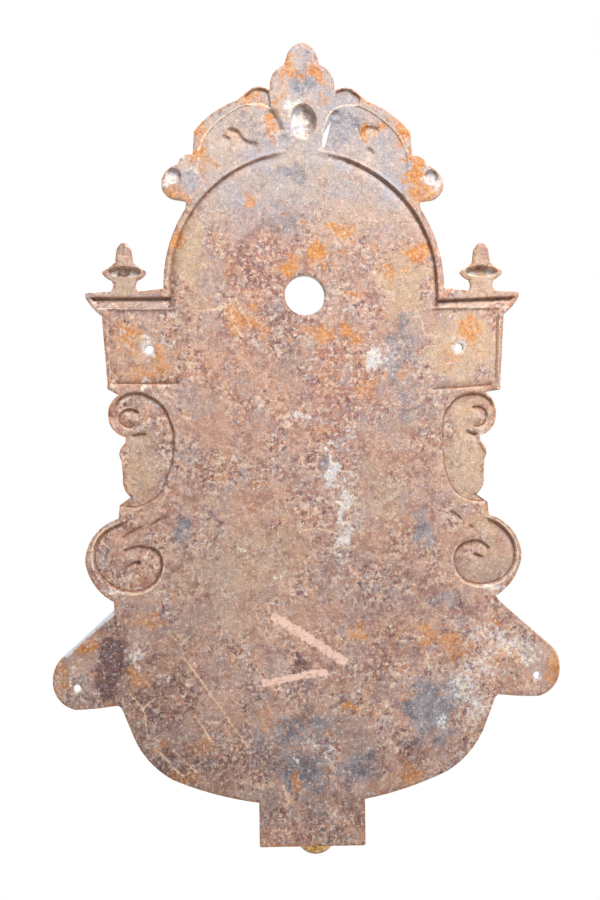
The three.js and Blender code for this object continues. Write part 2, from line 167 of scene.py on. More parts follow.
def nearest_on_line(points, line, reach):
    """For each point: its distance from the line, and at most reach; +1 if it is left of
    the line's run or -1 if right; how far along the line its nearest place is."""
    distance = np.full(len(points), float(reach))
    left = np.ones(len(points))
    travelled = np.zeros(len(points))
    starts = np.concatenate([[0], np.hypot(*np.diff(line, axis=0).T).cumsum()])
    run = 16  # stretches looked at together
    for first in range(0, len(line) - 1, run):
        piece = line[first:first + run + 1]
        near = np.flatnonzero(in_box(points, piece.min(axis=0) - reach, piece.max(axis=0) + reach))
        if len(near) == 0:
            continue
        start = piece[:-1]
        along = piece[1:] - start
        offset = points[near][:, None] - start
        length = np.maximum(np.hypot(*along.T), 1e-9)
        share = np.clip((offset * along).sum(axis=2) / length**2, 0, 1)
        gap = offset - share[:, :, None] * along
        gaps = np.hypot(gap[:, :, 0], gap[:, :, 1])
        best = gaps.argmin(axis=1)
        row = np.arange(len(near))
        better = gaps[row, best] < distance[near]
        row, best, chosen = row[better], best[better], near[better]
        cross = along[best, 0] * offset[row, best, 1] - along[best, 1] * offset[row, best, 0]
        distance[chosen] = gaps[row, best]
        left[chosen] = np.where(cross >= 0, 1, -1)
        travelled[chosen] = starts[first + best] + share[row, best] * length[best]
    return distance, left, travelled


def line_distance(points, line, reach):
    return nearest_on_line(points, line, reach)[0]


def lines_distance(points, lines, reach):
    """Distance from the nearest of several lines."""
    return np.minimum.reduce([line_distance(points, line, reach) for line in lines])


def inside(points, outline):
    """Whether each point lies inside a closed outline."""
    x, z = points.T
    odd = np.zeros(len(points), bool)
    for (x0, z0), (x1, z1) in zip(outline, np.roll(outline, -1, axis=0)):
        if z0 != z1:
            crosses = (z >= min(z0, z1)) & (z < max(z0, z1))
            odd ^= crosses & (x < x0 + (z - z0) * (x1 - x0) / (z1 - z0))
    return odd


def depth_inside(points, outline, reach):
    """Distance from the outline for points inside it, up to reach, and 0 outside."""
    near = np.flatnonzero(in_box(points, outline.min(axis=0), outline.max(axis=0)))
    result = np.zeros(len(points))
    if len(near):
        held = inside(points[near], outline)
        result[near] = np.where(held, line_distance(points[near], closed_line(outline), reach), 0)
    return result


def smooth(value, low=0.0, high=1.0):
    """0 below low, 1 above high, and an S-curve between them."""
    t = np.clip((value - low) / (high - low), 0, 1)
    return t * t * (3 - 2 * t)


def rounded(share):
    """Height of a half-round ridge at a share of its half width, and 0 beyond it."""
    return np.sqrt(np.clip(1 - share**2, 0, 1))


def highest(values):
    return np.maximum.reduce(list(values))


def patchy(points, size, seed, octaves=3):
    """Smooth random values from 0 to 1 with patches of about that size. Each further octave
    has patches half as large, and counts for less."""
    cells = 64  # the random table repeats after this many cells
    away = 500.37  # puts the origin inside a cell, not on its corner
    fading = 0.55
    total, weight, share = 0.0, 1.0, 0.0
    for octave in range(octaves):
        table = np.random.RandomState(seed + octave).rand(cells, cells)
        cell = points / size * 2**octave + away
        base = np.floor(cell).astype(int)
        u, v = smooth(cell - base).T
        x0, z0 = base.T % cells
        x1, z1 = (x0 + 1) % cells, (z0 + 1) % cells
        low = table[x0, z0] * (1 - u) + table[x1, z0] * u
        high = table[x0, z1] * (1 - u) + table[x1, z1] * u
        total = total + weight * (low * (1 - v) + high * v)
        share += weight
        weight *= fading
    return total / share


# ------------------------------------------------------------------ the plate's outline


def half_outline(side):
    """Nodes of one half, drawn on the right, from the foot of the tab to the crown's tip."""
    up, out, capital = side["up"], side["out"], side["capital_up"]
    tab_and_bowl = [
        (TAB_HALF - 2, side["tab"], 0.7), (TAB_HALF, side["tab"] + 2), (TAB_HALF, -430, 2.7),
        (130, -406.2, 5.1), (168, -362), (177.5, -338, -1.4),
    ]
    ear = [(184, -334.8, 0.5), (220, -337.2, 7), (241.2, -308, 3), (230, -286.5), (183.5, -245)]
    scrolls = [
        (182, -238.5, 5.6), (208, -200, 8.3), (176.5, -160.5, 0), (175.3, -148, 0), (165, -140.5, 2.5),
        (172, -122, 0), (173, -106, 0.5), (175.2, -99.5, 1), (169.8, -90, -0.5), (169.5, -84, 4.1),
        (184.8, -65, 3.5), (175, -43.3 - up, 0),
    ]
    capital_side = [
        (186.8, -39.6 + capital, 0.8), (187.3, -35.5 + capital), (192, 31.5, 1.5), (207, 49), (207, 52.8),
    ]
    finial = [
        (13, 54.3, -1.2), (10.8, 62), (12, 65, 0.6), (19.8, 70.5, 0.8), (19.6, 73.8, -0.8), (8.3, 82, 0),
        (7.4, 90, 0.8), (4.3, 97.8, 1), (0, 100, 1), (-4.3, 97.8, 0.8), (-7.4, 90), (-8.3, 82, -0.8),
        (-19.6, 73.8, 0.8), (-19.8, 70.5, 0.6), (-12, 65), (-10.8, 62, -1.2), (-13, 54.3),
    ]
    arch_and_button = [
        (ARCH_OUTER, 57, 5.8), (112.9, 132.2), (111.5, 139.8), (120, 141.3, 4.4), (135, 156.5, 4),
        (119, 174.8, 3.6), (105, 183.8),
    ]
    crown = [
        (103.5, 206, 3.8), (62, 236), (50, 246.5, 1.5), (38, 248.7, 0.4), (30.5, 246, 0.4),
        (30.3, 256, 2.3), (17, 270.5), (14.2, 280, 2.5), (0, CROWN_TOP),
    ]
    moved_scrolls = [(x + out, z + up, bulge) for x, z, bulge in scrolls]
    moved_finial = [(FINIAL_X + node[0], *node[1:]) for node in finial]
    return tab_and_bowl + ear + moved_scrolls + capital_side + moved_finial + arch_and_button + crown


def plate_loops():
    """Closed outlines of the plate, then of the tap hole, the wall-screw holes and the slit."""
    right = trace(half_outline(RIGHT))
    left = on_side(trace(half_outline(LEFT)), LEFT)[::-1]
    x, z, radius = TAP_HOLE
    loops = [np.concatenate([right[:-1], left]), ellipse(x, z, radius, radius)]
    for side in SIDES:
        for x, z, radius in (CAPITAL_HOLE, EAR_HOLE):
            loops.append(ellipse(side["sign"] * x, z, radius, radius, 0.9))
    crown_slit = trace([(18, 191.5), (21.5, 193), (28, 219), (20, 207, 0.5)], closed=True)
    return loops + [crown_slit]


# ------------------------------------------------------------------ rear relief


@dataclass
class Hollow:
    """A closed hollow: its wall stands outside the outline, its floor may dish further in."""

    outline: np.ndarray
    depth: float
    wall: float
    dish: float = 0.0

    def carve(self, points):
        outside = line_distance(points, closed_line(self.outline), self.wall)
        held = depth_inside(points, self.outline, DISH_REACH)
        wall = np.where(held > 0, 1, 1 - smooth(outside, 0, self.wall))
        return self.depth * wall + self.dish * smooth(held, 0, DISH_REACH)

    def guides(self):
        line = closed_line(self.outline)
        return [offset_line(line, share * self.wall) for share in (0, -1, -0.5, 0.5, 1)]


@dataclass
class Step:
    """A fold in the casting along a line: a steep wall on its outer side, the deepest place
    on the line, darkened with dirt and painted shade, and a floor that comes up slowly on its inner side.
    The inner side is to the left of the way the line runs, or to the right if inner is -1."""

    line: np.ndarray
    inner: int
    depth: float
    wall: float
    recovery: float
    dirt_and_shade: float

    def parts(self, points):
        """Distance outside and inside of the line, and a fade at the line's two ends."""
        reach = 2.2 * self.recovery  # beyond it the floor has come up again
        distance, left, travelled = nearest_on_line(points, self.line, reach)
        near = distance < reach
        on_inner = left * self.inner > 0
        length = np.hypot(*np.diff(self.line, axis=0).T).sum()
        fade = smooth(travelled, 0, FOLD_END) * smooth(length - travelled, 0, FOLD_END)
        return distance * (near & ~on_inner), distance * (near & on_inner), fade * near

    def carve(self, points):
        outer, inward, fade = self.parts(points)
        shape = (1 - smooth(outer, 0, self.wall)) * np.exp(-((inward / self.recovery) ** 2))
        return self.depth * shape * fade

    # Dirt and painted shade along the fold: darkest on the line, thin up the wall, wider over the floor.
    def fold_darkening(self, points):
        outer, inward, fade = self.parts(points)
        up_the_wall, over_the_floor = 0.7, 1.7
        spread = (outer / up_the_wall) ** 2 + (inward / over_the_floor) ** 2
        return self.dirt_and_shade * np.exp(-spread) * fade

    def guides(self):
        offsets = (0, 0.5 * self.wall, self.wall, -1.6, -4)
        return [offset_line(self.line, -self.inner * offset) for offset in offsets]


# Lines of the folds, drawn on the right: under 1 those of the right side, under -1 of the left.
# The large scroll's edge runs from the volute's top round to the foot of the scroll.
SCROLL_EDGE = {
    1: [
        (180, -60), (178, -53), (172, -47.5), (164, -45.3), (155, -46), (145, -50), (138, -57), (133, -65),
        (131, -75), (130.5, -85), (131, -100), (132.5, -115), (136, -128), (141, -137), (147.5, -143),
        (156, -147), (165, -148.5), (170.5, -148.5),
    ],
    -1: [
        (181.5, -58), (179, -50.5), (172, -44.5), (161, -41.7), (150, -44.5), (140, -51), (134, -58),
        (130, -68), (127, -77), (126.5, -90), (128.5, -108), (133, -120), (137, -131), (142, -138.5),
        (149, -143.5), (157, -147.3), (166, -148.7), (176, -147.5),
    ],
}
VOLUTE_UNDERSIDE = {
    1: [(152, -79), (157, -81.8), (162, -83.6), (167.5, -84.2)],
    -1: [(150, -81.5), (155, -79.8), (161, -80.6), (168, -83)],
}
UPPER_SPIRAL = {
    1: [
        (158.5, -74), (162, -76), (167, -76.3), (172, -72.5), (174, -66.5), (172, -60.5), (167, -57.8),
        (162, -57.8), (158, -60),
    ],
    -1: [
        (161.5, -68), (164, -72), (168, -74), (173, -72), (177, -67.5), (176, -61.5), (171, -57.6),
        (164.5, -57.2), (159.5, -59.6), (157.5, -63),
    ],
}
LOWER_SPIRAL = {
    1: [
        (171, -165.5), (179, -168.5), (188, -175), (195, -184), (198.5, -193), (199, -202), (197, -211),
        (191, -219.5), (182, -225), (172, -227.8), (161, -227.8), (151, -224.5), (144.5, -218), (141, -210),
        (140.6, -202), (143, -195), (148, -190), (155, -187.2), (163, -186.7), (170, -189.8), (176, -196.5),
    ],
    -1: [
        (172, -163.5), (182, -167), (192, -173), (199, -182), (201.5, -193), (200.5, -203), (196, -212),
        (189, -219.5), (180, -225), (169, -227.8), (159, -227.3), (149.5, -223), (143, -216), (139.5, -206),
        (139.8, -197), (144, -190), (152, -186.5), (161, -185.8), (170, -188), (177, -191),
    ],
}
LOWER_EYE = {
    1: [(156, -200), (160.5, -199.2), (165, -201.2), (170, -203.8)],
    -1: [(157.5, -204.5), (160.5, -200.8), (166, -201.4), (171, -205.2), (175, -205.8)],
}
LEAF_CREASES = {
    1: [
        [(134, -157.5), (139.5, -158.8), (144.5, -162.5), (148.5, -168.5)],
        [(152.5, -170.5), (157, -172.5), (161, -176)],
    ],
    -1: [
        [(132, -157), (138, -159.5), (144, -163.2), (151, -167.6)],
        [(155, -166.5), (162, -169.5), (169, -173), (178, -179)],
    ],
}
CROWN_CREASES = {
    1: [
        [(56, 199), (57, 206), (62, 211), (70, 210), (73, 205.5)], [(60, 193), (65, 189), (70, 183.5)],
        [(28, 219), (31, 224), (35, 228)],
    ],
    -1: [
        [(41, 194), (50, 195.5), (57, 198.5), (62, 205), (68, 208), (74, 206.5)],
        [(66, 199), (72, 200), (79, 203)], [(19, 205), (22, 214), (27, 223.5), (34, 229.5)],
    ],
}


def scroll_outline(side):
    """The scroll's hollow runs from its edge line to just inside the plate's outline."""
    outer = [
        (168.5, -145), (162, -139), (169.3, -123), (170.5, -106), (172, -99.5), (167, -91),
        (167.5, -84), (176, -79), (182, -68),
    ]
    moved = trace([(x + side["out"], z + side["up"]) for x, z in outer])
    return np.concatenate([smooth_line(SCROLL_EDGE[side["sign"]]), moved])


def leaf_outline():
    """The smooth back of a crown leaf, inside its rim and above the arch."""
    rim = [
        (19, 203), (23, 215), (29, 224.5), (37, 230.5), (48, 231.5), (62, 227), (78, 216),
        (91, 202.5), (98, 188), (99.5, 172),
    ]
    return np.concatenate([smooth_line(rim), trace([(99, 168), (92.6, 152.6, 7.1), (16, 190)])])


def side_hollows(side):
    back_leaf = [(31.5, 230), (52, 233.5, 0.8), (54, 239.5), (45.5, 245.8, 1.2), (33.5, 244.2)]
    curl = [(56.5, 197, -2.5), (59, 209.5, 1.5), (72.5, 208, 1), (70, 190, -2)]
    # outline, depth, wall, dish
    table = [
        (leaf_outline(), 1.2, 1.6, 0),
        (ellipse(FINIAL_X, FINIAL_EYE_Z, 13.5, 3.2, 0.9), 5.0, 2.4, 0),
        (trace(back_leaf, closed=True), 2.4, 1.8, 0),
        (trace(curl, closed=True), 0.8, 3.0, 1.0),
        (ellipse(190, -298, 15, 32), side["ear_depth"], 9, 0),
        (ellipse(123, BUTTON_Z, 4.6, 5.0, 0.9), 3.6, 2.8, 0),
        (scroll_outline(side), 1.4, 1.8, 0),
        (smooth_line(LOWER_SPIRAL[side["sign"]][:17]), 0.8, 2.4, 0),
    ]
    return [Hollow(on_side(outline, side), *sizes) for outline, *sizes in table]


def side_steps(side):
    key = side["sign"]
    # line, inner side, depth, wall, recovery, strength of dirt and painted shade
    table = [
        (SCROLL_EDGE[key], 1, 1.3, 1.6, 10.0, 0.8),
        (VOLUTE_UNDERSIDE[key], -1, 2.4, 2.0, 7.0, 0.9),
        (UPPER_SPIRAL[key], 1, 2.4, 2.0, 6.0, 1.0),
        (LOWER_SPIRAL[key], -1, 2.3, 2.1, 9.0, 1.0),
        (LOWER_EYE[key], -1, 2.8, 2.4, 6.0, 1.0),
        (side["capital_foot"], 1, 1.6, 1.6, 3.0, 1.0),
        ([(183.5, -33), (184.3, -10), (186, 33)], 1, 1.2, 1.5, 3.0, 0.6),
    ]
    table += [(line, -1, 1.8, 1.8, 5.0, 0.7) for line in LEAF_CREASES[key]]
    table += [(line, -1, 2.0, 2.8, 8.0, 0.35) for line in CROWN_CREASES[key]]
    return [Step(on_side(smooth_line(line), side), inner * key, *sizes) for line, inner, *sizes in table]


CROWN_OVAL = ellipse(0, CROWN_OVAL_Z, 9.5, 13.5)
REAR_HOLLOWS = [Hollow(CROWN_OVAL, 6.0, 4.0, 1.5)] + side_hollows(RIGHT) + side_hollows(LEFT)
REAR_STEPS = side_steps(RIGHT) + side_steps(LEFT)


def capital_panel(points, side):
    """A shallow floor between the cornice and the foot, fading out towards the field."""
    x, z = on_side(points, side).T
    start, _, end = side["capital_foot"]
    foot = start[1] + (x - start[0]) * (end[1] - start[1]) / (end[0] - start[0])
    depth, outer_side = 2.3, 184.5 + 0.05 * z
    across = smooth(x, 112, 128) * smooth(outer_side - x, -1.4, 0.4)
    above_foot = smooth(z - foot, -side["foot_slope"], 0.6)
    return depth * across * above_foot * smooth(CORNICE_FOOT - 0.1 - z, 0, 1.2)


def cornice_cove(points, side):
    """Under the capital's top: a deep shadow line that slopes out to a small ridge. The top
    is level on the left and rises outwards on the right."""
    x, z = on_side(points, side).T
    top = 45.8 + 0.045 * (x - 128) if side is RIGHT else 49.3
    outer_end = 203 - 0.75 * np.clip(48 - z, 0, 12)
    ends = smooth(x, 126.5, 128.5) * smooth(outer_end - x, 0, 2)
    rise = np.clip((z - CORNICE_FOOT) / (top - CORNICE_FOOT), 0, 1)
    depth = 0.4 + 5.2 * rise**1.3
    return depth * ends * smooth(top - z, -0.2, 1.2) * smooth(z, 36.6, 38.4)


def cornice_guides(side):
    """Lines along which the relief of the cornice and the capital bends."""
    top_in, top_out = (46, 49.2) if side is RIGHT else (49.3, 49.3)
    foot = side["capital_foot"]
    lines = [
        [(x, z - side["foot_slope"]) for x, z in foot], [(x, z + 0.6) for x, z in foot],
        [(184.5, -33), (186.5, 36)],
        [(127, top_in), (203, top_out)], [(127, top_in - 1.3), (202, top_out - 1.3)],
        [(127, 38.2), (196, 38.2)], [(127, 36.6), (193, 36.6)],
    ]
    return [on_side(trace(line), side) for line in lines]


def arch_radius(points):
    """Distance from the arch's centre, or from its centre line below the springing."""
    x, z = points.T
    return np.where(z > ARCH_Z, np.hypot(x, z - ARCH_Z), np.abs(x))


def at_arch_top(points):
    """1 in the middle of the arch's top, falling off to both sides."""
    x, z = points.T
    return np.exp(-((x / 24) ** 2)) * (z > ARCH_Z)


def arch_groove(points):
    """A steep outer wall and a long slope back to the field, both softer at the very top."""
    x, z = points.T
    radius, at_top = arch_radius(points), at_arch_top(points)
    wall_width = 2.2 + 9 * at_top
    wall = smooth((GROOVE_RADIUS + 0.7 - radius) / wall_width)
    slope = np.clip((radius - GROOVE_RADIUS + 9) / 8, 0, 1)
    depth = 3.0 * (1 - 0.7 * at_top) + 0.9 * smooth(x, 20, 90)  # deeper on the right
    return depth * wall * slope * smooth(z, CORNICE_FOOT, 40)


def arch_groove_darkening(points):
    """Dirt and painted shade at the foot of the arch groove's wall, thinner at the very top."""
    radius = arch_radius(points)
    band = smooth(GROOVE_RADIUS + 1.5 - radius, 0.3, 1.3)
    band *= np.exp(-(np.clip(GROOVE_RADIUS - 0.5 - radius, 0, None) / 3.2))
    return band * (1 - 0.9 * at_arch_top(points)) * smooth(points[:, 1], CORNICE_FOOT, 40)


def highlight_band(points, line, strength):
    """A narrow pale band along a line: a painted highlight."""
    half_width, reach = 1.1, 3.2
    distance = line_distance(points, line, reach)
    return strength * np.exp(-((distance / half_width) ** 2)) * (distance < reach)


# Lines of painted highlight: cornice ridge, leaf rim, capital foot and capital side, each with its
# strength.
HIGHLIGHT_LINES = [
    ([(112, 37.6), (150, 37.8), (196, 38.2)], 0.8),
    (
        [
            (18, 203), (22, 216), (28, 226), (37, 232.2), (48, 233), (62, 228.5), (79, 217.5),
            (92.5, 203.5), (99.5, 188),
        ],
        0.95,
    ),
    ([(120, -37.5), (150, -37), (184, -36)], 0.45),
    ([(188, -35), (189.5, 0), (191, 30)], 0.5),
]


def ridge_highlights(points):
    """Painted highlights along edges: the arch's inner rim, the lines above and the ridges beside folds."""
    rim = np.exp(-((arch_radius(points) - ARCH_RIM) ** 2))
    amounts = [0.55 * rim * smooth(points[:, 1], 38, 60)]
    for side in SIDES:
        key = side["sign"]
        # line, how far to the left of it on the right side, strength
        ridges = [
            (SCROLL_EDGE[key], -2.6, 0.7),
            (UPPER_SPIRAL[key], -2.2, 0.6),
            (LOWER_SPIRAL[key], 2.8, 1.0),
        ]
        for line, strength in HIGHLIGHT_LINES:
            amounts.append(highlight_band(points, on_side(smooth_line(line), side), strength))
        for line, away, strength in ridges:
            ridge = offset_line(on_side(smooth_line(line), side), away * key)
            amounts.append(highlight_band(points, ridge, strength))
    return highest(amounts)


def edge_rounding(points, edges, width=1.8, drop=0.8):
    """How far the face falls back beside outlines and holes."""
    distance = lines_distance(points, [closed_line(edge) for edge in edges], width)
    return drop * (1 - smooth(distance, 0, width))


def rear_relief(points):
    """Depth of the rear face below the wall face, without the rounding at its edges."""
    depths = [arch_groove(points)] + [hollow.carve(points) for hollow in REAR_HOLLOWS]
    for side in SIDES:
        depths += [cornice_cove(points, side), capital_panel(points, side)]
    return highest(depths) + highest(step.carve(points) for step in REAR_STEPS)


def rear_depth(points, edges):
    """The relief with its edges rounded, and the waves, lumps and pits of a sand casting."""
    relief = rear_relief(points)
    waves = (patchy(points, 70, 3, 2) - 0.5) * 0.9
    lumps = (patchy(points, 9, 12, 3) - 0.5) * 0.55
    pits = 0.5 * smooth(patchy(points, 5, 23, 2), 0.72, 0.86)
    skin = np.clip(waves + lumps + pits, 0, 1.2) * (1 - 0.6 * smooth(relief, 0, 2))
    return relief + edge_rounding(points, edges) + skin


# ------------------------------------------------------------------ front relief


def raised(points, outline, height, edge):
    """Height of a raised shape with a quarter-round edge."""
    return height * rounded(1 - np.clip(depth_inside(points, outline, edge) / edge, 0, 1))


def volute(points, centre, radius, pitch, height):
    """A round boss with a spiral ridge on it."""
    x, z = (points - centre).T
    distance = np.hypot(x, z)
    turn = np.arctan2(z, x) / (2 * math.pi)
    ridge_height = 3.2
    ridge = 0.5 + 0.5 * np.cos(2 * math.pi * (distance / pitch - turn))
    return rounded((distance / radius) ** 3) * (height - ridge_height + ridge_height * ridge)


def side_front(points, side):
    """Heights of one side's ornaments above the plate."""
    mirrored = on_side(points, side)
    scroll = mirrored - (side["out"], side["up"])
    x, z = mirrored.T
    foot = side["capital_up"]
    block = [(116, -37 + foot), (184.5, -37 + foot), (189.5, 34), (116, 34)]
    panel = [(128, -28 + foot), (176, -28 + foot), (180, 27), (128, 27)]
    cornice = [(114, 33), (190, 33, 1.2), (204.5, 47), (204.5, 51.5), (114, 51.5)]
    upper_step = [(114, 44), (201, 44), (204, 47), (204, 51), (114, 51)]
    stem = [
        (131, -150), (163, -146), (169, -122), (171, -100), (160, -60), (135, -60, 1.5), (129, -90, 1),
    ]
    neck = [(146, -190), (172, -170), (172, -148), (140, -150)]
    leaf = [
        (112, 143, -3), (92, 158), (26, 188), (33, 224, 2), (60, 233, 3.4), (100.5, 204), (102, 184),
        (116, 172, 1),
    ]
    wing = [
        (150, -262, 1), (187, -241.5), (232.5, -281.5, 3), (238, -300), (226, -294), (190, -266),
        (156, -282),
    ]
    flutes = np.cos(scroll[:, 0] * 2 * math.pi / 9)
    veins = np.abs(np.sin(np.arctan2(z - 150, x - 8) * 13))
    ribs = np.abs(np.sin((x + z) * math.pi / 11))
    # where, outline, height, width of its edge, pattern
    table = [
        (mirrored, cornice, 12.0, 3.0, 1), (mirrored, upper_step, 15.5, 2.5, 1),
        (scroll, stem, 4.5, 6, 1 + 0.2 * flutes), (scroll, neck, 4.5, 6, 1),
        (mirrored, leaf, 5.5, 7, 0.7 + 0.4 * veins), (mirrored, wing, 6.5, 6, 0.85 + 0.162 * ribs),
    ]
    heights = [raised(at, trace(nodes, closed=True), *size) * by for at, nodes, *size, by in table]
    capital = raised(mirrored, trace(block, closed=True), 9.0, 2.5)
    capital -= 3.0 * smooth(depth_inside(mirrored, trace(panel, closed=True), 3), 0, 2.5)
    button = 7 * rounded(np.hypot(x - 123.5, z - 160) / 10.5)
    volutes = [
        volute(scroll, UPPER_VOLUTE, 18.5, 8.0, 8.5), volute(scroll, LOWER_VOLUTE, 33, 11.0, 8.5),
    ]
    return highest(heights + volutes + [capital, button, finial_front(x, z)])


def finial_front(x, z):
    """The front half of a turned finial, somewhat flattened."""
    # height, radius
    profile = [
        (53, 11.5), (62, 9.2), (65, 10.5), (70.5, 18), (73.8, 18), (82, 7.2), (90, 6.2), (97, 3.5),
        (98.6, 0),
    ]
    radius = np.interp(z, *zip(*profile), left=0, right=0)
    return 0.7 * np.sqrt(np.clip(radius**2 - (x - FINIAL_X) ** 2, 0, None))


def crown_shell(points):
    """A fluted shell in the middle of the crown."""
    outline = [
        (-20, 189), (20, 189), (27, 246, 1), (13, 268), (0, 286), (-13, 268, 1), (-27, 246),
    ]
    x, z = points.T
    ribs = np.abs(np.cos(np.arctan2(x, z - 172) * 22))
    boss = 4 * rounded(np.hypot(x / 12, (z - 217) / 18))
    return raised(points, trace(outline, closed=True), 6.0, 6) * (0.75 + 0.3 * ribs) + boss


def arch_moulding(points):
    """Two round beads and a row of small balls between them."""
    x, z = points.T
    radius = arch_radius(points)
    ball_row, ball_radius, spacing = 121.6, 3.0, 7.5
    along = np.where(z > ARCH_Z, np.arctan2(z - ARCH_Z, x) * 122, z - ARCH_Z)
    beside = (along / spacing - np.round(along / spacing)) * spacing
    balls = 3.4 * rounded(np.hypot(radius - ball_row, beside) / ball_radius)
    outer_bead = 6.0 * rounded((radius - BEAD_OUTER) / 4.2)
    inner_bead = 4.0 * rounded((radius - BEAD_INNER) / 2.6)
    return highest([outer_bead, inner_bead, balls]) * smooth(z, 34, 36)


def tap_boss(points):
    """The tap's round seat on a rosette of sixteen petals."""
    x, z = (points - TAP_HOLE[:2]).T
    distance = np.hypot(x, z)
    petals = 1.6 * np.abs(np.cos(np.arctan2(x, z) * 8)) * smooth(ROSETTE - distance, 0, 4)
    rosette = 3.0 * smooth(ROSETTE - distance, 0, 2.5) + petals
    seat = 9.0 * smooth(TAP_SEAT - distance, 0, 1.6)
    return np.maximum(seat, rosette)


def screw_bosses(points):
    """Low round seats behind the basin's four screws."""
    gaps = [np.hypot(*(points - screw).T) for screw in BASIN_SCREWS]
    return 2.6 * smooth(9 - np.minimum.reduce(gaps), 0, 1)


def field_moulding(points):
    """A raised line down each side of the field, from the capitals to the bowl."""
    x, z = points.T
    return 2.2 * rounded((np.abs(x) - 106) / 2.4) * smooth(z, -292, -288) * smooth(30 - z, 0, 4)


def front_height(points, edges):
    """Height of the front face above the wall face."""
    makers = (arch_moulding, crown_shell, tap_boss, screw_bosses, field_moulding)
    sides = [side_front(points, side) for side in SIDES]
    height = highest([make(points) for make in makers] + sides)
    skin = (patchy(points, 60, 71, 2) - 0.5) * 0.4 + (patchy(points, 9, 75, 3) - 0.5) * 0.35
    above_bowl = 1 - smooth(-310 - points[:, 1], 0, 8)  # flat behind the bowl
    return PLATE + height + skin * above_bowl - edge_rounding(points, edges, 2.4, 1.2)
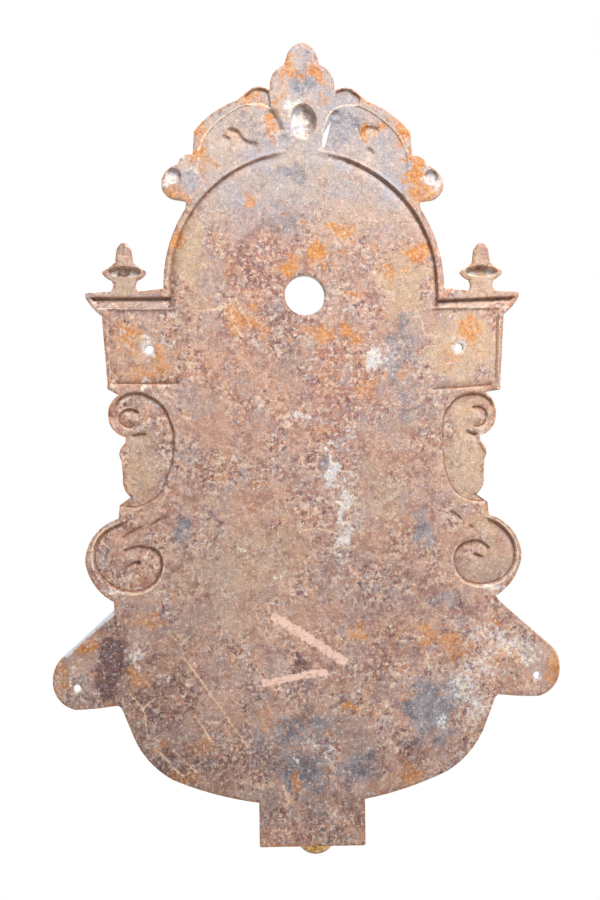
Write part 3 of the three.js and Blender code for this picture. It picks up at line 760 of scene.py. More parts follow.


# ------------------------------------------------------------------ stains, paint and painted light and shade


# Patches of the rear face: x, z, half width, half height, strength.
PATCHES = {
    "orange": [
        (60, 204, 4, 7, 0.9), (-62, 204, 8, 6, 0.5), (-100, 190, 8, 12, 0.7), (-46, 236, 8, 8, 0.6),
        (-30, 212, 5, 9, 0.6), (20, 240, 6, 6, 0.5), (-18, 252, 5, 8, 0.6), (118, 142, 10, 5, 0.7),
        (-116, 146, 10, 5, 0.6), (82, 228, 8, 4, 0.6), (13, 92, 7, 12, 1.0), (-14, 79, 9, 7, 0.8),
        (-54, 141, 8, 7, 0.7), (-119, 103, 6, 7, 0.9), (110, 88, 11, 10, 0.8), (100, 76, 5, 8, 0.5),
        (33, 115, 11, 7, 0.7), (1, 122, 4, 4, 0.6), (65, 92, 6, 6, 0.45), (14, 15, 14, 9, 0.65),
        (38, 15, 9, 9, 0.75), (-40, 12, 7, 10, 0.6), (-58, 24, 15, 12, 0.6), (-48, 41, 9, 5, 0.55),
        (-96, 172, 9, 9, 0.5), (108, 172, 10, 14, 0.9), (114, 150, 15, 9, 0.75), (97, 206, 8, 20, 0.85),
        (-99, 205, 6, 16, 0.65), (-15, 266, 6, 10, 0.65), (13, 262, 10, 7, 0.75), (-28, 231, 6, 12, 0.65),
        (62, 236, 12, 6, 0.5), (86, 222, 10, 6, 0.5), (-50, 241, 9, 5, 0.55), (73, 208, 5, 3, 0.6),
        (158, 18, 10, 15, 0.6), (168, 4, 8, 10, 0.35), (137, -12, 9, 14, 0.4), (-166, 14, 13, 13, 0.6),
        (-140, -5, 5, 16, 0.6), (-152, -24, 20, 8, 0.5), (50, 50, 8, 4, 0.5), (79, 74, 5, 8, 0.6),
        (-70, 75, 7, 5, 0.4), (-45, -45, 34, 30, 0.3), (-88, -20, 20, 15, 0.35), (8, -75, 10, 6, 0.4),
        (-20, -133, 4, 3, 0.6), (60, -42, 12, 12, 0.45), (95, -28, 6, 6, 0.55), (-151, -258, 13, 9, 0.55),
        (-213, -280, 9, 8, 0.75), (-162, -308, 9, 10, 0.6), (116, -276, 12, 14, 0.6),
        (136, -286, 10, 8, 0.6), (184, -270, 9, 10, 0.55), (190, -298, 14, 12, 0.6), (46, -270, 8, 6, 0.5),
        (-42, -354, 10, 10, 0.5), (-12, -408, 5, 8, 0.65), (92, -406, 10, 12, 0.6),
        (-230, -302, 6, 14, 0.5), (234, -312, 8, 20, 0.6), (37, -342, 3, 4, 0.8), (92, -335, 4, 4, 0.6),
        (-105, -376, 15, 8, 0.5), (-100, 150, 8, 6, 0.5), (-120, 148, 12, 6, 0.6), (20, -25, 20, 14, 0.35),
        (-142, -372, 10, 7, 0.5), (-120, -402, 14, 5, 0.45), (30, 95, 6, 3, 0.5), (-88, 107, 10, 8, 0.35),
    ],
    # The white patch at (178, -229), on the lower volute's rim, is a painted highlight; the rest are paint
    # left on the iron.
    "white": [
        (-6, 222, 8, 13, 1.0), (3, 206, 6, 5, 0.7), (-126, 164, 6, 6, 0.9), (125, 162, 7, 8, 0.85),
        (-153, -33, 4, 2.5, 0.9), (-156, -42, 3, 2.5, 0.8), (-184, 41, 8, 2.5, 0.4), (63, -12, 6, 9, 1.0),
        (70, -8, 13, 13, 0.45), (20, -98, 7, 9, 0.55), (25, -113, 6, 7, 1.0), (22, -130, 7, 6, 0.9),
        (33, -155, 4, 14, 0.85), (37, -175, 5, 9, 0.9), (43, -78, 6, 8, 0.55), (-8, -63, 6, 4, 0.8),
        (-100, -172, 1.6, 1.6, 1.0), (-35, -215, 6, 2, 0.6), (-65, -188, 5, 1.6, 0.9),
        (30, -205, 5, 12, 0.45), (178, -229, 7, 4, 0.95), (-184, -226, 8, 3, 0.95),
        (138.5, -206, 1.6, 9, 0.8), (195, -300, 8, 8, 0.6), (148, -325, 14, 18, 0.6),
        (160, -345, 10, 10, 0.6), (172, -300, 10, 14, 0.55), (190, -286, 14, 14, 0.7),
        (166, -272, 16, 9, 0.45), (210, -296, 12, 9, 0.5), (-165, -288, 5, 6, 0.6), (-15, -390, 3, 2, 1.0),
        (15, -386, 8, 10, 0.4), (3, -375, 6, 6, 0.4), (125, -360, 8, 5, 0.75), (112, -305, 5, 4, 0.6),
        (-196, -205, 2, 14, 0.5), (150, 3, 5, 5, 0.7), (-149, 4, 5, 5, 0.6), (-106, 166, 6, 5, 0.4),
        (-112, 178, 8, 3, 0.6), (45, -160, 6, 8, 0.3), (-138, -310, 5, 8, 0.35), (35, -130, 5, 8, 0.35),
        (-222, -300, 3, 12, 0.5),
    ],
    "blue": [
        (-10, 120, 30, 14, 0.5), (-5, 168, 18, 9, 0.7), (-36, 160, 16, 8, 0.45), (0, 256, 11, 13, 0.75),
        (-4, 277, 7, 8, 0.6), (-52, 214, 20, 14, 0.5), (40, 214, 20, 14, 0.6), (92, 0, 17, 34, 0.65),
        (100, -50, 12, 20, 0.55), (112, -175, 6, 22, 0.85), (-122, -170, 8, 16, 0.75),
        (15, -107, 7, 10, 0.85), (3, -45, 14, 20, 0.35), (-136, -240, 10, 10, 0.4),
        (132, -245, 13, 12, 0.6), (0, -330, 32, 20, 0.35), (-20, -370, 42, 20, 0.65),
        (-8, -401, 32, 15, 1.0), (45, -400, 22, 14, 0.75), (118, -348, 24, 26, 0.9),
        (110, -375, 11, 10, 0.65), (-150, -352, 16, 14, 0.45), (5, -432, 9, 18, 0.5),
        (30, -420, 9, 10, 0.45), (-210, -322, 13, 10, 0.45), (-100, 60, 20, 20, 0.25),
        (30, -200, 6, 30, 0.35), (-80, 130, 20, 14, 0.3), (60, 150, 20, 10, 0.35), (-90, -360, 20, 12, 0.3),
        (150, -30, 10, 8, 0.25), (20, 150, 14, 10, 0.35),
    ],
    # The dark patch at (-188, -298), at the left ear's root, is a painted shadow; the others are stains.
    "dark": [
        (58, 209, 5, 4, 0.8), (-150, -330, 24, 22, 0.55), (-125, -395, 30, 12, 0.75),
        (-60, -395, 40, 16, 0.5), (-110, -310, 26, 22, 0.45), (0, -462, 44, 10, 0.6),
        (38, -440, 10, 24, 0.5), (-36, -440, 12, 24, 0.5), (70, -400, 24, 10, 0.5), (-15, -300, 3, 10, 1.2),
        (33, -336, 3, 2.5, 1.2), (60, -240, 40, 22, 0.5), (75, -285, 24, 26, 0.4),
        (-175, -250, 12, 10, 0.5), (-48, 92, 32, 14, 0.3), (-50, 70, 34, 24, 0.3), (-22, 32, 24, 12, 0.65),
        (-20, 2, 22, 18, 0.5), (-188, -298, 12, 36, 1.2), (-145, -345, 18, 10, 0.45),
        (-132, -388, 32, 16, 0.7), (92, -385, 20, 14, 0.6), (70, -300, 15, 20, 0.55),
        (-38, -385, 12, 8, 0.65), (10, -383, 34, 9, 0.35), (0, -455, 46, 16, 0.45),
        (-75, -120, 42, 18, 0.4), (72, -232, 42, 30, 0.45), (20, -214, 30, 20, 0.4), (-13, -297, 6, 9, 1.1),
        (0, -286, 20, 8, 0.3), (30, -196, 26, 14, 0.4), (-190, -200, 22, 22, 0.5), (-95, -395, 24, 10, 0.4),
        (-20, -330, 8, 6, 0.5), (-124, -342, 4, 3, 1.0), (34, -335, 4, 3, 1.1), (150, -380, 10, 8, 0.3),
        (0, 235, 10, 4, 0.5), (8, 220, 5, 9, 0.6), (-70, -60, 30, 20, 0.2), (146, -245, 8, 6, 0.7),
        (-140, -88, 9, 20, 0.5), (135, -95, 5, 24, 0.45), (-180, -205, 16, 14, 0.5),
        (-200, -330, 16, 8, 0.5), (110, -290, 10, 8, 0.6), (173, 73.5, 7, 3, 1.2), (-171, 73.5, 6, 3, 1.1),
        (0, -448, 50, 12, 0.35),
    ],
    "red": [
        (30, -45, 42, 44, 0.8), (-45, 60, 45, 40, 0.4), (40, -110, 30, 30, 0.45), (-60, -10, 50, 30, 0.35),
        (-10, -70, 40, 30, 0.45), (80, -230, 40, 30, 0.35), (-42, 82, 30, 24, 0.8), (70, -298, 26, 28, 0.6),
        (100, -392, 18, 12, 0.6), (-140, -342, 28, 28, 0.6), (-60, -392, 34, 12, 0.5),
    ],
    "tan": [
        (-108, 90, 14, 36, 1.0), (-100, 45, 16, 14, 0.6), (95, 60, 22, 30, 0.9), (-55, -200, 48, 36, 0.6),
        (62, -135, 24, 30, 0.6), (-60, -255, 40, 20, 0.5), (-85, -150, 20, 20, 0.4),
        (153, -118, 22, 34, 0.85), (156, -72, 24, 24, 0.75), (176, -200, 30, 24, 0.5),
        (172, -172, 26, 16, 0.7), (156, 0, 32, 34, 1.1), (-156, -112, 18, 34, 0.7),
        (-95, -215, 24, 24, 0.5), (100, -190, 16, 30, 0.4), (-50, 130, 20, 14, 0.4),
        (110, -330, 20, 14, 0.5), (30, 30, 22, 12, 0.35), (-150, 0, 30, 30, 0.5), (40, 160, 30, 14, 0.4),
        (170, 66, 22, 20, 0.9), (-170, 66, 22, 20, 0.7), (30, 120, 50, 30, 0.4),
    ],
}

# Marks drawn as strokes, each with its half width: rubbed chalk as a plain open angle, the
# front's pale glaze that ran round the edge of an ear, and light scratches.
STROKES = {
    "chalk": [
        ([(-33, -255), (-20, -264), (0, -277), (18, -289), (31, -298)], 4.6),
        ([(-44, -317), (-25, -314), (-4, -310), (14, -309)], 3.4),
    ],
    "glaze": [
        ([(-186, -248), (-200, -259), (-214, -271), (-229, -285)], 3.2),
        ([(188, -246), (204, -258), (220, -272), (232, -284)], 1.6),
    ],
    "scratch": [
        ([(-119, -292), (-100, -318), (-80, -348), (-60, -377)], 0.54),
        ([(-110, -346), (-102, -357), (-95, -370)], 0.79),
        ([(-170, -323), (-158, -339), (-156, -352), (-154, -362)], 0.58),
        ([(-158, -339), (-152, -332), (-147, -329)], 0.5),
        ([(-142, -380), (-130, -394), (-122, -402)], 0.5),
        ([(-130, -378), (-118, -390), (-110, -398)], 0.5), ([(-100, -352), (-90, -353), (-82, -349)], 0.43),
        ([(-28, -412), (-24, -424), (-22, -432)], 0.43),
        ([(-66, 48), (-70, 36), (-68, 22), (-60, 12)], 0.5), ([(-66, 48), (-60, 36), (-52, 20)], 0.5),
        ([(-108, 36), (-90, 37), (-72, 42)], 0.58), ([(24, 118), (28, 108), (31, 98)], 0.43),
        ([(75, 72), (71, 64), (74, 56), (84, 53)], 0.58), ([(106, 38), (110, 30), (113, 20)], 0.58),
        ([(112, 20), (116, 12), (122, 12)], 0.5), ([(-8, -174), (8, -172), (24, -176), (34, -182)], 0.72),
        ([(112, -292), (112, -300), (113, -306)], 0.72), ([(-128, 206), (-118, 196)], 0.43),
    ],
}


def patches(points):
    """For each table: soft patches, pulled out of their elliptical shape, with ragged edges."""
    pull = 22  # millimetres between the furthest pulls either way
    ragged = 0.4 + 1.2 * patchy(points, 11, 41, 4)
    x = points[:, 0] + pull * (patchy(points, 13, 43, 3) - 0.5)
    z = points[:, 1] + pull * (patchy(points, 13, 47, 3) - 0.5)
    marks = {}
    for name, table in PATCHES.items():
        amount = np.zeros(len(points))
        for middle_x, middle_z, half_width, half_height, strength in table:
            distance = np.hypot((x - middle_x) / half_width, (z - middle_z) / half_height)
            amount = np.maximum(amount, strength * smooth(1.5 * ragged - distance, -0.3, 1.1))
        marks[name] = np.clip(amount, 0, 1)
    return marks


def stroke_marks(points, strokes):
    """1 on the strokes, fading out at about their half width."""
    amounts = []
    for line, half_width in strokes:
        distance = line_distance(points, smooth_line(line), half_width * 2)
        amounts.append(1 - smooth(distance, half_width * 0.6, half_width * 1.3))
    return highest(amounts)


def paint_left(points):
    """White paint that stayed in small hollows and round the screw holes."""
    x, z = points.T
    oval = smooth(depth_inside(points, CROWN_OVAL, 6), 0.5, 3.5)
    amounts = [oval * (1 - 0.8 * smooth(x + 0.3 * (z - CROWN_OVAL_Z), -2, 6))]
    for side in SIDES:
        across = x * side["sign"]
        eye = np.hypot((across - FINIAL_X) / 15.5, (z - FINIAL_EYE_Z) / 5)
        ends = smooth(np.abs(across - FINIAL_X), 4, 8)
        amounts.append((1 - smooth(eye, 0.7, 1.1)) * ends)
        # x, z, strength, radius of the full white, radius where it ends
        spots = [
            (123, BUTTON_Z, 0.9, 3.5, 7), (*CAPITAL_HOLE[:2], 0.85, 5, 8.5), (*EAR_HOLE[:2], 0.6, 4, 6),
        ]
        for at_x, at_z, strength, full, none in spots:
            amounts.append(strength * (1 - smooth(np.hypot(across - at_x, z - at_z), full, none)))
    return highest(amounts)


def shade(points):
    """Painted light and shade: paler at the top and right, darker low on the left; plus random mottled
    tone.
    """
    x, z = points.T
    left, down = -x, -z
    tone = 0.86 + 0.06 * smooth(down, -190, -20)
    tone -= 0.08 * smooth(down, 20, 200) + 0.13 * smooth(down, 280, 400)
    tone -= 0.13 * smooth(left, 60, 190) * smooth(down, 180, 290) * smooth(x, -250, -200)
    tone += 0.07 * smooth(x, 60, 180) * smooth(down, 200, 300)
    tone += 0.06 * smooth(x, 100, 150) * smooth(z, -60, 0)
    tone -= 0.06 * smooth(left, 20, 120) * smooth(down, 0, 200) * smooth(x, -170, -120)
    tone += 0.08 * smooth(x, 118, 160) * smooth(down, 40, 90) * smooth(z, -260, -200)
    tone += 0.06 * smooth(left, 110, 150) * smooth(down, 140, 200) * smooth(z, -270, -230)
    mottled = patchy(points, 17, 61, 3) - 0.5
    return tone + mottled * (0.08 + 0.38 * smooth(down, 230, 330))


def rear_marks(points, outline):
    """Amounts, from 0 to 1, that the rear face's material reads at each point."""
    step = np.array([0.0, 0.8])  # half the height over which the slope is measured
    # Painted shade on faces that turn downwards, away from the light above.
    downward_shade = np.clip(rear_relief(points - step) - rear_relief(points + step), 0, 1.2)
    dirt_and_shade = [0.55 * downward_shade, 0.85 * arch_groove_darkening(points)] + [fold.fold_darkening(points) for fold in REAR_STEPS]
    marks = patches(points)
    marks["white"] = np.maximum(marks["white"], paint_left(points))
    for name, strokes in STROKES.items():
        marks[name] = stroke_marks(points, strokes)
    marks["shade"] = shade(points)
    marks["grey"] = smooth(points[:, 1], 60, 190) * 0.9 + 0.15  # most at the top
    marks["worn"] = ridge_highlights(points)
    marks["dirt_and_shade"] = np.clip(highest(dirt_and_shade), 0, 1)
    marks["rim"] = 1 - smooth(line_distance(points, closed_line(outline), 7), 0.5, 6)
    return marks


# ------------------------------------------------------------------ plate mesh


def loop_edges(loops):
    """Edge index pairs of closed loops whose points are stored one after another."""
    edges, start = [], 0
    for loop in loops:
        count = len(loop)
        edges += [(start + i, start + (i + 1) % count) for i in range(count)]
        start += count
    return edges


def jittered_grid(low, high, step, seed):
    """A triangular grid with small random offsets."""
    random = np.random.RandomState(seed)
    rows = np.arange(low[1], high[1], step * 0.866)  # about the height of an equilateral triangle
    x, z = np.meshgrid(np.arange(low[0], high[0], step), rows)
    x = x + (np.arange(len(rows)) % 2)[:, None] * step / 2
    grid = np.stack([x.ravel(), z.ravel()], axis=1)
    return grid + random.uniform(-0.18, 0.18, grid.shape) * step


def thin_out(points, spacing):
    """Drops points that share a small cell with an earlier one."""
    _, first = np.unique(np.round(points / spacing).astype(int), axis=0, return_index=True)
    return points[np.sort(first)]


def in_plate(points, loops):
    in_hole = np.any([inside(points, hole) for hole in loops[1:]], axis=0)
    return inside(points, loops[0]) & ~in_hole


def triangulated(loops, guides, step, seed):
    """Triangles between the outline (the first loop) and the holes (the others), with
    points along the guide lines. The loops' points come first."""
    grid = jittered_grid(loops[0].min(axis=0), loops[0].max(axis=0), step, seed)
    grid = grid[lines_distance(grid, guides, step * 0.75) > step * 0.7]
    inner = np.concatenate([thin_out(np.concatenate(guides), 0.8), grid])
    inner = inner[in_plate(inner, loops)]
    inner = inner[lines_distance(inner, [closed_line(loop) for loop in loops], 2.0) > 0.75]
    points = np.concatenate(loops + [inner])
    made = delaunay_2d_cdt([Vector(p) for p in points.tolist()], loop_edges(loops), [], 0, 1e-4)
    placed = np.array([tuple(v) for v in made[0]])
    source = np.array([ids[0] if ids else -1 for ids in made[3]])
    triangles = np.array(made[2])
    return points, source[triangles[in_plate(placed[triangles].mean(axis=1), loops)]]


def mesh_from(name, vertices, faces):
    mesh = bpy.data.meshes.new(name)
    mesh.from_pydata((np.asarray(vertices) * MM).tolist(), [], [list(face) for face in faces])
    mesh.update()
    return mesh


def arch_line(radius, foot, step=EDGE_STEP):
    return trace([(radius, foot), (radius, ARCH_Z, radius), (-radius, ARCH_Z), (-radius, foot)], step=step)


def rear_guides():
    """Lines that the rear face's triangles follow, so that its folds come out clean."""
    guides = []
    for feature in REAR_HOLLOWS + REAR_STEPS:
        guides += feature.guides()
    guides += cornice_guides(RIGHT) + cornice_guides(LEFT)
    guides += [arch_line(radius, 39) for radius in (128, 127.2, 126, 119)]
    for line, half_width in STROKES["scratch"]:
        middle = smooth_line(line)
        guides += [middle, offset_line(middle, half_width), offset_line(middle, -half_width)]
    return guides


def front_guides():
    """Lines that the front face's triangles follow."""
    guides = [arch_line(radius, 35, 2) for radius in (131.2, BEAD_OUTER, 122.8, 120, 115)]
    for side in SIDES:
        foot = side["capital_up"] - 37
        for inset in (0, 2.5):
            block = [
                (116 + inset, foot + inset), (184.5 - inset, foot + inset),
                (189.5 - inset, 33), (116 + inset, 33),
            ]
            guides.append(on_side(closed_line(trace(block, closed=True, step=2)), side))
        for z in (33, 36, 44, 46.5, 49, 51.5):
            guides.append(on_side(trace([(115, z), (203, z)], step=2), side))
        for centre, radii in ((UPPER_VOLUTE, (18.6, 16)), (LOWER_VOLUTE, (33, 30))):
            for radius in radii:
                ring = ellipse(*centre, radius, radius, 2)
                guides.append(on_side(ring, side, side["out"], side["up"]))
    for radius in (TAP_SEAT + 0.2, TAP_SEAT - 1.6, ROSETTE, ROSETTE - 2.5):
        guides.append(ellipse(*TAP_HOLE[:2], radius, radius, 2))
    return guides


def back_plate():
    """The whole casting: rear skin, front skin and the walls between them."""
    loops = plate_loops()
    border = sum(len(loop) for loop in loops)
    rear, rear_faces = triangulated(loops, rear_guides(), REAR_STEP, 5)
    front, front_faces = triangulated(loops, front_guides(), FRONT_STEP, 6)
    rear_y, front_y = rear_depth(rear, loops), front_height(front, loops)
    layers = [(rear, rear_y)]
    for share in (0.12, 0.5, 0.88):  # rows of points across the plate's edge
        layers.append((rear[:border], rear_y[:border] * (1 - share) + front_y[:border] * share))
    layers.append((front, front_y))
    vertices = np.concatenate([np.insert(points, 1, y, axis=1) for points, y in layers])
    starts = np.cumsum([0] + [len(y) for _, y in layers])
    faces = rear_faces.tolist()
    for low, high in zip(starts[:-2], starts[1:-1]):
        faces += [(low + j, low + i, high + i, high + j) for i, j in loop_edges(loops)]
    faces += (front_faces[:, ::-1] + starts[-2]).tolist()
    mesh = mesh_from("fountain_back_plate", vertices, faces)
    marks = rear_marks(vertices[:, [0, 2]], loops[0])
    # Painted shade in the recesses, from how far each point lies below its neighbours.
    marks["recess_shade"] = recesses(mesh, vertices[:, 1])
    for name, values in marks.items():
        attribute = mesh.attributes.new(name, "FLOAT", "POINT")
        attribute.data.foreach_set("value", values.astype(np.float32))
    dressed(mesh, "fountain", "rusted_iron", "back_plate", rusted_iron(), chipped_enamel(), sharp=50)
    enamelled = np.ones(len(faces), np.int32)
    enamelled[:len(rear_faces) + 2 * border] = 0  # rust reaches half way round the edge
    mesh.polygons.foreach_set("material_index", enamelled)


def recesses(mesh, heights, rounds=14):
    """How far each point lies below the average of the points round it, from 0 to 1.
    Each round takes in neighbours one edge further away."""
    ends = np.empty(2 * len(mesh.edges), np.int32)
    mesh.edges.foreach_get("vertices", ends)
    one, other = ends.reshape(-1, 2).T
    count = len(heights)
    level = heights.astype(float)
    for _ in range(rounds):
        total = np.bincount(one, level[other], count) + np.bincount(other, level[one], count)
        level = total / np.bincount(ends, minlength=count)
    return np.clip((level - heights) / 1.6, 0, 1)


def linked(name, data):
    item = bpy.data.objects.new(name, data)
    bpy.context.scene.collection.objects.link(item)
    return item


def outward(mesh):
    """Turns every face of a closed mesh outwards."""
    work = bmesh.new()
    work.from_mesh(mesh)
    bmesh.ops.recalc_face_normals(work, faces=work.faces)
    work.to_mesh(mesh)
    work.free()
    return mesh


def dressed(mesh, body, slot, node, *materials, sharp=35):
    """Gives the mesh its materials and shading and joins it to the frame in a node's place."""
    mesh.materials.clear()
    for material in materials:
        mesh.materials.append(material)
    outward(mesh).shade_smooth()
    mesh.set_sharp_from_angle(angle=math.radians(sharp))
    piece = linked(mesh.name, mesh)
    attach(piece, body)
    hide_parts(node)


# ------------------------------------------------------------------ turned and cut pieces

WASTE_X, WASTE_Y = 6.0, 42.0
BOWL_BACK = 9.0  # rear face of the bowl's own back wall
BOWL_WALL = 6.0
BOWL_RIM = -322.0
BOWL_FLOOR = -427.6
BOWL_STRETCH = 176 / 171  # the bowl stands out a little further than its half width
FOOT_HALF, FOOT_FRONT, FOOT_WALL = 46.0, 84.0, 5.0  # the hollow foot under the bowl
FOOT_BOTTOM, FOOT_TOP = -466.0, -421.5
GADROONS = 34  # lobes round the whole turn, so half of them show
SCREW_SEAT = BOWL_BACK + BOWL_WALL + 1.8


def turned(name, profile, sides=64, x=0.0, y=0.0, closed=False, ripple=None, stretch=1.0):
    """A profile of (radius, z) turned about a vertical axis. A closed profile makes a
    ring; an open one begins and ends on the axis. The ripple adds to the radius."""
    angle = np.arange(sides) / sides * 2 * math.pi
    vertices, rings = [], []
    for radius, z in profile:
        if radius < 1e-6:
            rings.append([len(vertices)] * sides)
            vertices.append((x, y, z))
            continue
        radii = radius + (ripple(radius, z, angle) if ripple else 0 * angle)
        rings.append(list(range(len(vertices), len(vertices) + sides)))
        vertices += zip(x + radii * np.cos(angle), y + stretch * radii * np.sin(angle), [z] * sides)
    faces = []
    for ring, above in zip(rings, rings[1:] + (rings[:1] if closed else [])):
        for i in range(sides):
            j = (i + 1) % sides
            corners = [ring[i], ring[j], above[j], above[i]]
            face = [corner for k, corner in enumerate(corners) if corner != corners[k - 1]]
            if len(face) > 2:
                faces.append(face)
    return mesh_from(name, vertices, faces)


def pin(name, radius, low, high, sides=64, x=0.0, y=0.0):
    """A plain round rod, upright, for cutting holes."""
    return turned(name, [(0, low), (radius, low), (radius, high), (0, high)], sides, x, y)


def waste_turned(name, profile, sides=96, **more):
    return turned(name, profile, sides, WASTE_X, WASTE_Y, **more)


def lying(mesh, x, z):
    """Turns an upright mesh so that its axis runs out of the wall, through x, z."""
    for vertex in mesh.vertices:
        vertex.co = (vertex.co.x + x * MM, vertex.co.z, vertex.co.y + z * MM)
    return mesh


def box(name, low, high, bevel=0.0):
    low, high = np.array(low, float), np.array(high, float)
    work = bmesh.new()
    bmesh.ops.create_cube(work, size=1)
    for vertex in work.verts:
        vertex.co = (low + (np.array(vertex.co) + 0.5) * (high - low)) * MM
    if bevel:
        edges = list(work.edges)
        bmesh.ops.bevel(work, geom=edges, offset=bevel * MM, segments=3, profile=0.5, affect="EDGES")
    mesh = bpy.data.meshes.new(name)
    work.to_mesh(mesh)
    work.free()
    return mesh


def combined(mesh, operation, *tools):
    """The mesh joined with, cut by or cropped to each tool in turn."""
    name = mesh.name
    items = [linked("shape", outward(shape)) for shape in (mesh, *tools)]
    for helper in items[1:]:
        modifier = items[0].modifiers.new("combine", "BOOLEAN")
        modifier.operation = operation
        modifier.solver = "MANIFOLD"
        modifier.object = helper
    bpy.context.view_layer.update()
    finished = items[0].evaluated_get(bpy.context.evaluated_depsgraph_get())
    result = bpy.data.meshes.new_from_object(finished)
    for item in items:
        used = item.data
        bpy.data.objects.remove(item)
        bpy.data.meshes.remove(used)
    result.name = name
    return result


def gadroon(radius, z, angle):
    """Shallow lobes that swell on the bowl's belly and die out at its rim and floor."""
    share = smooth(z, -425, -405) * smooth(-z, 340, 352)
    return 2.6 * share * (np.abs(np.cos(angle * GADROONS / 2)) ** 0.7 - 0.4)


def basin():
    """The half bowl with its back wall and hollow foot, cast in one."""
    belly = [
        (62, BOWL_FLOOR), (92, -420.6), (112, -412.6), (130, -401.5), (146, -386), (157, -369),
        (164, -352), (167, -337),
    ]
    lip = [
        (167, -337, -1.2), (175, -335, 1.6), (178.5, -329, 1.4), (176, -323, 0.5), (171, BOWL_RIM),
        (163, BOWL_RIM),
    ]
    hollow = [
        (163, BOWL_RIM), (160, -332), (156, -345), (149, -362), (139, -379), (126, -393),
        (110, -404.5), (92, -413), (70, -420),
    ]
    above_rim = BOWL_RIM + 9
    outer = [[(0, BOWL_FLOOR)], smooth_line(belly, 2.5)[:-1], trace(lip, step=1.0), [(0, BOWL_RIM)]]
    inner = [[(0, above_rim), (166, above_rim)], smooth_line(hollow, 2.5), [(0, -420)]]

    def bowl(name, parts, sides, ripple=None):
        profile = np.concatenate(parts)
        return turned(name, profile, sides, 0, BOWL_BACK, ripple=ripple, stretch=BOWL_STRETCH)

    def room(name, back):
        """A box that holds everything in front of a plane."""
        return box(name, (-260, back, -500), (260, 300, -200))

    def foot_block(name, wider, low, high, bevel):
        """A box as wide and deep as the foot, or wider by some millimetres on three sides."""
        half, front = FOOT_HALF + wider, FOOT_FRONT + wider
        return box(name, (-half, BOWL_BACK, low), (half, front, high), bevel)

    inner_half = FOOT_HALF - FOOT_WALL
    foot_room_low = (-inner_half, BOWL_BACK + FOOT_WALL, FOOT_BOTTOM - 5)
    foot_room = box("foot_room", foot_room_low, (inner_half, FOOT_FRONT - FOOT_WALL, BOWL_FLOOR))
    added = [
        foot_block("foot", 0, FOOT_BOTTOM, FOOT_TOP, 1.2),
        foot_block("skirting", 2, FOOT_BOTTOM, FOOT_BOTTOM + 7, 1.5),
        foot_block("neck", 1.5, -432, FOOT_TOP, 1.5),
    ]
    removed = [
        combined(bowl("inside", inner, 192), "INTERSECT", room("inner_room", BOWL_BACK + BOWL_WALL)),
        foot_room,
        pin("waste_hole", 15.2, -440, -400, 64, WASTE_X, WASTE_Y),
    ]
    removed += [lying(pin("drilling", 4.2, 0, 30, 32), x, z) for x, z in BASIN_SCREWS]
    body = combined(bowl("basin_bowl", outer, 408, gadroon), "INTERSECT", room("room", BOWL_BACK))
    body = combined(combined(body, "UNION", *added), "DIFFERENCE", *removed)
    dressed(body, "fountain", "enamelled_iron", "basin", chipped_enamel("basin_enamel", 0.35), sharp=40)


def thread(pitch, depth, low, high):
    """A screw thread between two heights, as a ripple."""
    def ripple(radius, height, angle):
        phase = height / pitch - angle / (2 * math.pi)
        return -depth * np.abs(2 * (phase - np.floor(phase)) - 1) * (low <= height <= high)
    return ripple


def basin_screws():
    """Slotted round-head screws, each turned to its own angle."""
    seat = SCREW_SEAT
    bend = np.linspace(0.15, math.pi / 2, 9)[:-1]
    profile = [(0, 2.8), (3.2, 2.8)] + [(3.9, y) for y in np.arange(3.8, seat - 0.5, 0.3)]
    profile += [(3.9, seat), (6.7, seat), (7, seat + 0.4)]
    profile += [(7 * math.cos(t), seat + 1.4 + 3.1 * math.sin(t)) for t in bend] + [(0, seat + 4.5)]
    for number, (x, z) in enumerate(BASIN_SCREWS, 1):
        rod = turned(f"basin_screw_{number}_shown", profile, 48, ripple=thread(1.25, 0.5, 3.8, seat - 1))
        slot = box("slot", (-9, seat + 2.6, -0.8), (9, seat + 9, 0.8))
        slot.transform(Matrix.Translation((x * MM, 0, z * MM)) @ Matrix.Rotation(0.7 * number, 4, "Y"))
        body = combined(lying(rod, x, z), "DIFFERENCE", slot)
        dressed(body, "fountain", "steel", f"basin_screw_{number}", worn_steel())


def waste_body():
    """The flanged waste with a thread all the way down its tail."""
    flange = [
        (14.5, -418.4), (24.5, -418.4), (25.5, -417.6, 0.3), (24, -415.4, 0.4), (21, -414.8),
        (20, -415.1),
    ]
    profile = [(11, -480), (14, -480)] + [(14.5, z) for z in np.arange(-479.4, -421, 0.4)]
    profile += trace(flange).tolist() + [(20, -417.2), (11.6, -417.2), (11, -417.8)]
    body = waste_turned("waste_body_shown", profile, closed=True, ripple=thread(1.8, 0.7, -479.4, -422))
    dressed(body, "fountain", "aged_brass", "waste_body", aged_brass())


def waste_strainer():
    """The loose grid, slightly domed, with a round groove and drilled holes."""
    top = [
        (0, -414.6), (6, -414.7), (11, -414.9), (11.4, -415.2), (12, -414.95), (17.4, -415.2),
        (19, -415.4),
    ]
    profile = [(0, -416.9), (19.2, -416.9), (19.5, -416.6), (19.5, -415.8)] + trace(top)[::-1].tolist()
    holes = []
    # number of holes, radius of their ring, radius of a hole
    for count, ring, radius in ((1, 0, 2.6), (6, 8, 2.4), (12, 15, 2.2)):
        for angle in np.arange(count) / count * 2 * math.pi:
            x, y = WASTE_X + ring * math.cos(angle), WASTE_Y + ring * math.sin(angle)
            holes.append(pin("hole", radius, -420, -412, 24, x, y))
    body = combined(waste_turned("waste_strainer_shown", profile), "DIFFERENCE", *holes)
    dressed(body, "strainer", "aged_brass", "waste_strainer", aged_brass())


